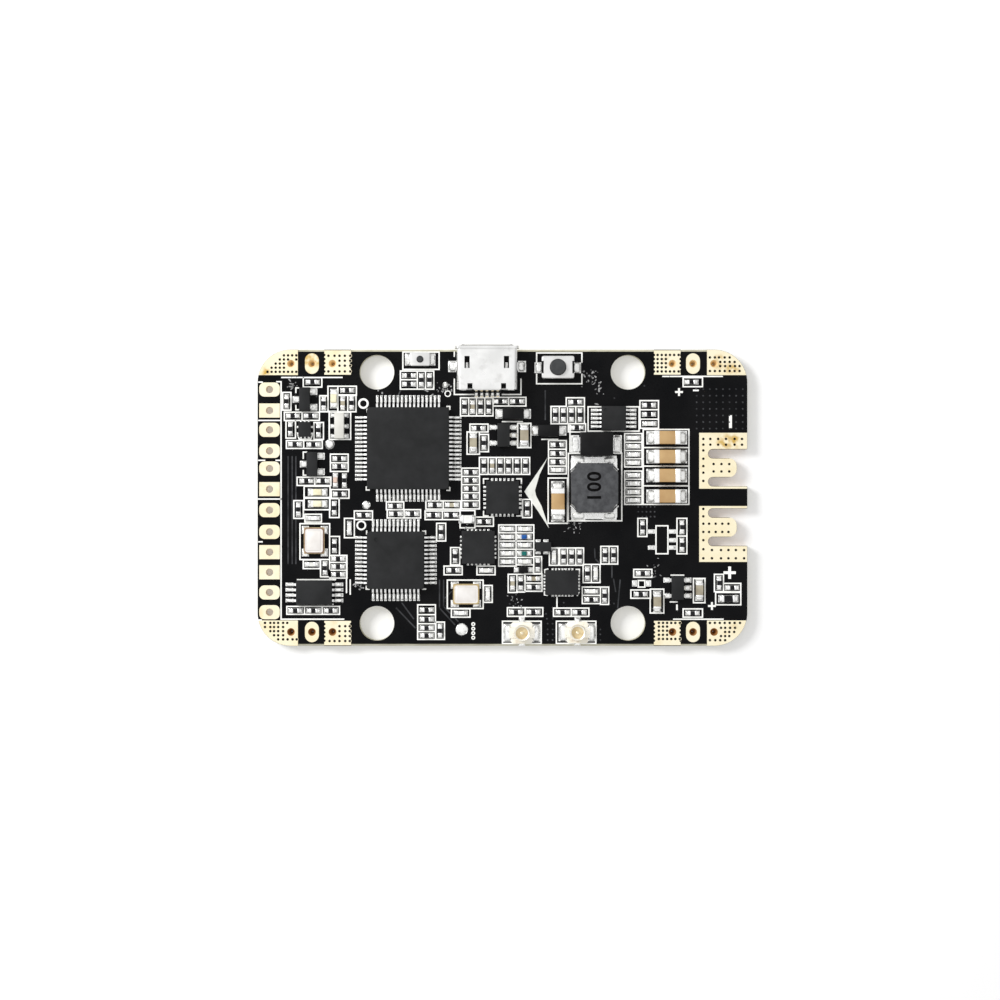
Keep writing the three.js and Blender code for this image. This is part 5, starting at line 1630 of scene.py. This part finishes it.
def makeUsbShell():
    low, high = (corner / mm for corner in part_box("usb_shell"))
    x = (low.x + high.x) / 2
    half, top = usb["width"] / 2, deck + usb["height"]
    knee = top - usb["sideHeight"]
    shell = block("usbShell", (x - half, usb["rearY"], deck), (x + half, usb["mouthY"], top))
    editFaces(shell, lambda centre, normal: True)
    bpy.ops.mesh.select_all(action="SELECT")
    bpy.ops.mesh.bisect(plane_co=(0, 0, knee * mm), plane_no=(0, 0, 1))
    bpy.ops.mesh.select_all(action="SELECT")
    bpy.ops.mesh.bisect(plane_co=(0, (usb["mouthY"] - usb["lipLength"]) * mm, 0), plane_no=(0, 1, 0))
    endEdit()
    editFaces(shell, lambda centre, normal: normal.z < -0.9)
    stretchPicked((usb["bottomWidth"] / usb["width"], 1, 1), (x, 15, deck))
    endEdit()
    editEdges(shell, lambda a, b: abs(a.y - b.y) > 0.1 and abs(abs(a.x - x) - half) < 0.01
              and abs(a.z - top) < 0.01)
    bpy.ops.mesh.bevel(offset=usb["corner"] * mm, segments=5, affect="EDGES")
    endEdit()
    editEdges(shell, lambda a, b: abs(a.y - b.y) > 0.1 and abs(b.z - a.z) < 0.01 and abs(a.x - b.x) < 0.01
              and (abs(a.z - knee) < 0.01 or abs(a.z - deck) < 0.01))
    bpy.ops.mesh.bevel(offset=usb["bottomCorner"] * mm, segments=3, affect="EDGES")
    endEdit()
    editFaces(shell, lambda centre, normal: abs(normal.y) > 0.9)
    bpy.ops.mesh.delete(type="FACE")
    endEdit()
    editEdges(shell, lambda a, b: a.y > usb["mouthY"] - 0.01 and b.y > usb["mouthY"] - 0.01)
    flare = 1 + usb["lip"] / half
    stretchPicked((flare, 1, 1 + 2 * usb["lip"] / usb["height"]),
                  (x, usb["mouthY"], deck + usb["height"] / 2))
    endEdit()
    editEdges(shell, lambda a, b: a.y > usb["mouthY"] - 0.01 and b.y > usb["mouthY"] - 0.01
              and min(a.z, b.z) > knee - 0.4)
    bpy.ops.transform.translate(value=(0, -usb["roofShort"] * mm, 0))
    endEdit()
    useModifier(shell, "SOLIDIFY", thickness=usb["wall"] * mm, offset=-1, use_even_offset=True)
    editFaces(shell, lambda centre, normal: True)
    bpy.ops.mesh.normals_make_consistent(inside=False)
    endEdit()
    slotWidth, slotLength = usb["slotSize"]
    cutters = []
    behind = usb["rearY"] - 0.6
    for offset in usb["slotX"]:
        spot = x + offset
        cutters.append(block("latchSlot", (spot - slotWidth / 2, usb["slotY"] - slotLength / 2, top - 1),
                             (spot + slotWidth / 2, usb["slotY"] + slotLength / 2, top + 1)))
    for offset in usb["rearSlotX"]:
        spot = x + offset
        cutters.append(block("rearSlot", (spot - usb["rearSlotHalf"], behind, top - 1),
                             (spot + usb["rearSlotHalf"], usb["rearSlotEnd"], top + 1)))
    for side in (-1, 1):  # slits between the roof and the rear corner tabs
        xs = sorted(x + side * edge for edge in usb["slitX"])
        cutters.append(block("slit", (xs[0], behind, top - 0.6), (xs[1], usb["slitEnd"], top + 1)))
    for cutter in cutters:
        carve(shell, cutter)
    latches = []
    latchRear, latchFront = usb["latchY"]
    for offset in usb["slotX"]:
        latch = block("latch", (x + offset - usb["latchHalf"], latchRear, top - usb["wall"] - 0.24),
                      (x + offset + usb["latchHalf"], latchFront, top - usb["wall"] - 0.08))
        editFaces(latch, lambda centre, normal: normal.y > 0.9)
        bpy.ops.transform.translate(value=(0, 0, -usb["latchDrop"] * mm))
        endEdit()
        latches.append(soften(latch, 0.03, 1, 40))
    feet = []
    anchorRear, anchorFront = usb["anchorY"]
    for side in (-1, 1):
        xs = sorted((x + side * (half - 0.06), x + side * (half + 0.55)))
        foot = block("anchor", (xs[0], anchorRear, deck + 0.02), (xs[1], anchorFront, deck + 0.26))
        feet.append(soften(foot, 0.06, 2, 40))
        xs = sorted((x + side * (half - 0.2), x + side * (half + 0.08)))
        riser = block("riser", (xs[0], anchorRear, deck + 0.1), (xs[1], anchorFront, deck + 1.5))
        feet.append(soften(riser, 0.05, 2, 40))
        addSolder(x + side * (half + 0.6), 15.95, 0.95, 1.35, 0.5, 0 if side > 0 else math.pi)
    tabs = []
    foldRear, foldFront = usb["foldY"]
    for side in (-1, 1):  # folded ends of the rear wall
        xs = sorted((x + side * 2.5, x + side * 3.3))
        tab = block("rearTab", (xs[0], foldRear, deck + 1.2), (xs[1], foldFront, top - 0.1))
        tabs.append(soften(tab, 0.05, 2, 40))
    rear = block("rearWall", (x - 1.6, foldRear, top - 0.75), (x + 1.6, foldFront, top - 0.1))
    tabs.append(soften(rear, 0.05, 2, 40))
    pick(shell)
    useModifier(shell, "BEVEL", width=0.035 * mm, segments=1, limit_method="ANGLE",
                angle_limit=math.radians(50))
    bpy.ops.object.shade_smooth_by_angle(angle=math.radians(35))
    shell.data.materials.clear()
    shell.data.materials.append(paint["shell"])
    shell.data.materials.append(paint["shellShade"])
    for face in shell.data.polygons:  # the lower lip's inner face is painted dark: painted shade inside the mouth
        spot = face.center / mm
        lip = spot.y > usb["mouthY"] - 0.9 and spot.z < knee and face.normal.z > 0.3
        face.material_index = 1 if lip else 0
    others = [*latches, *feet, *tabs]
    for piece in others:
        piece.data.materials.clear()
        piece.data.materials.append(paint["shell"])
    done(joined("usbShell", [shell, *others]), None, "steel", "usb_shell")
    for i in range(5):
        node = f"usb_contact_{i + 1}"
        centre = middleOf(node)
        addSolder(centre.x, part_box(node)[0].y / mm + 0.3, 0.66, 0.44, 0.36, -quarter)
        repaint(node, paint["socketGold"])
    repaint("usb_tongue", paint["darkPlastic"])
    # dark plates inside and behind the shell: partly the real insulator, partly painted shade under the
    # latch slots and along the shell's rear edge
    darkFillers = [block("shadeLiner", (x - 2.75, 13.3, deck + 0.3), (x + 2.75, 17.2, deck + 0.42)),
              block("heel", (x - 1.75, 12.74, deck + 0.03), (x + 1.75, 13.12, deck + 0.42))]
    for side in (-1, 1):  # dark cheeks beside the tongue, under the latch slots: painted shade for the deep slots
        xs = sorted((x + side * 1.95, x + side * 3.2))
        darkFillers.append(block("shadeCheek", (xs[0], 13.3, deck + 1.1), (xs[1], 16.9, deck + 1.35)))
    done(joined("usbInsulatorAndShade", darkFillers), paint["epoxyBlack"], "dark_plastic")


makeUsbShell()
print("USB socket ready")


# ---------- push buttons
buttons = {
    "bind_button": {"sheet": 0.12, "gap": 0.03, "notch": (0.25, 1.5), "hole": 1.0,
                    "body": "bind_plunger", "shaft": 0.925, "bevel": 0.1, "terminalPad": (0.85, 1.3)},
    "boot_button": {"sheet": 0.08, "gap": 0.04, "notch": None, "hole": 0.42, "body": "boot_plunger",
                    "shaft": 0.35, "bevel": 0.05, "terminalPad": (0.6, 1.45)},
}


def makeButton(name, p):
    coverLow, coverHigh = (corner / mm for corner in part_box(name + "_cover"))
    x, y = (coverLow.x + coverHigh.x) / 2, (coverLow.y + coverHigh.y) / 2
    cover = block(name + "_lid", tuple(coverLow), tuple(coverHigh))
    roundUprights(cover, 2 * p["sheet"], 3, lambda a: True)
    soften(cover, p["sheet"] * 0.9, 3, 40)
    s = p["sheet"]
    hollow = block("hollow", (coverLow.x + s, coverLow.y + s, coverLow.z - 1),
                   (coverHigh.x - s, coverHigh.y - s, coverHigh.z - s))
    carve(cover, hollow)
    carve(cover, drum("coverHole", x, y, p["hole"], coverHigh.z - 1, coverHigh.z + 1, 48))
    if p["notch"]:
        depth, breadth = p["notch"]
        for side in (-1, 1):
            xs = sorted((x + side * ((coverHigh.x - x) - depth), x + side * (coverHigh.x - x + 1)))
            carve(cover, block("notch", (xs[0], y - breadth / 2, coverLow.z - 1),
                               (xs[1], y + breadth / 2, coverHigh.z + 1)))
    useModifier(cover, "BEVEL", width=0.02 * mm, segments=1, limit_method="ANGLE",
                angle_limit=math.radians(50))
    bpy.ops.object.shade_smooth_by_angle(angle=math.radians(35))
    done(cover, paint["cover"], "steel", name + "_cover")

    baseLow, baseHigh = (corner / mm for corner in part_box(name + "_base"))
    domeLow, domeHigh = (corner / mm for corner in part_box(name + "_dome"))
    well = (domeHigh.x - domeLow.x) / 2 + 0.1
    inset = Vector((s + 0.04, s + 0.04, 0))
    base = block(name + "_mould", tuple(baseLow + inset + Vector((0, 0, 0.02))), tuple(baseHigh - inset))
    carve(base, drum("well", x, y, well, domeLow.z, baseHigh.z + 1, 48))
    soften(base, 0.03, 1, 40)
    done(base, paint["darkPlastic"], "dark_plastic", name + "_base")

    low, high = (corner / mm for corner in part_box(name + "_plunger"))
    flange = (high.x - low.x) / 2
    flangeTop = coverHigh.z - p["sheet"] - p["gap"]
    plunger = drum(name + "_stem", x, y, flange, low.z, flangeTop, 48)
    editFaces(plunger, lambda centre, normal: normal.z > 0.9)
    bpy.ops.mesh.inset(thickness=(flange - p["shaft"]) * mm)
    bpy.ops.mesh.extrude_region_move(TRANSFORM_OT_translate={"value": (0, 0, (high.z - flangeTop) * mm)})
    endEdit()
    soften(plunger, p["bevel"], 3, 40)
    done(plunger, paint["plunger"], "dark_plastic", name + "_plunger", body=p["body"])

    tabs = []
    for i in (1, 2):
        tLow, tHigh = (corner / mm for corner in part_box(f"{name}_terminal_{i}"))
        tab = block("tab", tuple(tLow), tuple(tHigh))
        tabs.append(soften(tab, 0.03, 2, 40))
        side = 1 if tLow.x > x else -1
        length, breadth = p["terminalPad"]
        middle = (tLow.x + tHigh.x) / 2
        addSolder(middle + side * 0.14, y, length, breadth, 0.24, 0 if side > 0 else math.pi)
    done(joined(name + "_tabs", tabs), paint["tin"], "tin", name + "_terminal_1", name + "_terminal_2")
    repaint(name + "_dome", paint["dome"])


for name, values in buttons.items():
    makeButton(name, values)
print("buttons ready")


# ---------- empty pads and loose solder
emptyPads = [  # x, y, length, width
    (18.1, -4.1, 0.85, 0.5), (18.1, -6.05, 0.85, 0.5), (20.65, -4.1, 0.85, 0.5), (20.65, -5.15, 0.85, 0.5),
    (20.65, -6.05, 0.85, 0.5), (16.05, -10.4, 0.6, 0.75), (17.75, -10.4, 0.6, 0.75),
]
roundBlobs = [(-4.95, -16.0, 0.75), (-21.0, 6.5, 0.6), (-6.95, 13.7, 0.38), (-16.55, -0.88, 0.52)]
crystalPads = [(-23.95, -3.9), (-21.65, -3.9), (-23.95, -6.65), (-21.65, -6.65),
               (-5.8, -10.6), (-3.1, -10.6), (-5.8, -12.85), (-3.1, -12.85)]


fluxPatches = [  # x, y, spread, how many specks
    (10.7, 14.9, 1.0, 30), (-8.6, 13.0, 1.0, 18), (-6.6, 13.2, 0.8, 14), (8.4, -3.7, 1.1, 16),
    (-25.4, 13.6, 0.8, 12), (18.6, -8.4, 1.2, 12), (-17.6, -10.6, 0.9, 12), (1.4, -12.7, 0.8, 12),
    (-15.0, 12.4, 1.6, 6), (-4.4, -3.9, 0.9, 8), (11.6, 12.9, 0.8, 10),
]


def makeFlux():
    drop = drum("fluxDrop", 0, 0, 1, 0, 0.35, 8)
    editFaces(drop, lambda centre, normal: normal.z > 0.9)
    stretchPicked((0.6, 0.6, 1), (0, 0, 0))
    endEdit()
    drops = []
    for x, y, spread, count in fluxPatches:
        for _ in range(count):
            size = random.uniform(0.03, 0.11)
            stretched = size * random.uniform(1, 3)
            drops.append(copyOf(drop, random.gauss(x, spread * 0.55), random.gauss(y, spread * 0.55), deck,
                                random.uniform(0, math.pi), (stretched, size, size)))
    discard(drop)
    done(joined("fluxDrops", drops), paint["flux"], "board")


makeFlux()
print("flux ready")


def makeSolder():
    joints = []
    for x, y, length, width in emptyPads:
        addSolder(x, y, length, width, 0.09)
    for x, y in crystalPads:
        addSolder(x, y, 0.95, 0.85, 0.25, quarter if x < -10 else 0)
    for x, y, radius in roundBlobs:
        bpy.ops.object.select_all(action="DESELECT")
        bpy.ops.mesh.primitive_uv_sphere_add(segments=20, ring_count=10, radius=radius * mm,
                                             location=(x * mm, y * mm, deck * mm))
        blob = bpy.context.object
        blob.scale = (1, 1, 0.28)
        blob = placed("blob")
        editFaces(blob, lambda centre, normal: True)
        bpy.ops.mesh.select_all(action="SELECT")
        bpy.ops.mesh.bisect(plane_co=(0, 0, deck * mm), plane_no=(0, 0, 1), clear_inner=True, use_fill=True)
        endEdit()
        pick(blob)
        bpy.ops.object.shade_smooth_by_angle(angle=math.radians(50))
        joints.append(blob)
    master = makeSolderMaster()
    pad = block("solderPad", (-0.5, -0.5, 0), (0.5, 0.5, 1))
    for x, y, length, width, height, turn in solderSpots:
        wobble = 1 + random.uniform(-0.06, 0.06)
        joints.append(copyOf(master, x, y, deck, turn, (length * wobble, width * wobble, height)))
        joints.append(copyOf(pad, x, y, deck, turn, (length, width, 0.03)))
    discard(master, pad)
    done(joined("solderJoints", joints), paint["solder"], "tin")


makeSolder()
print("solder ready")
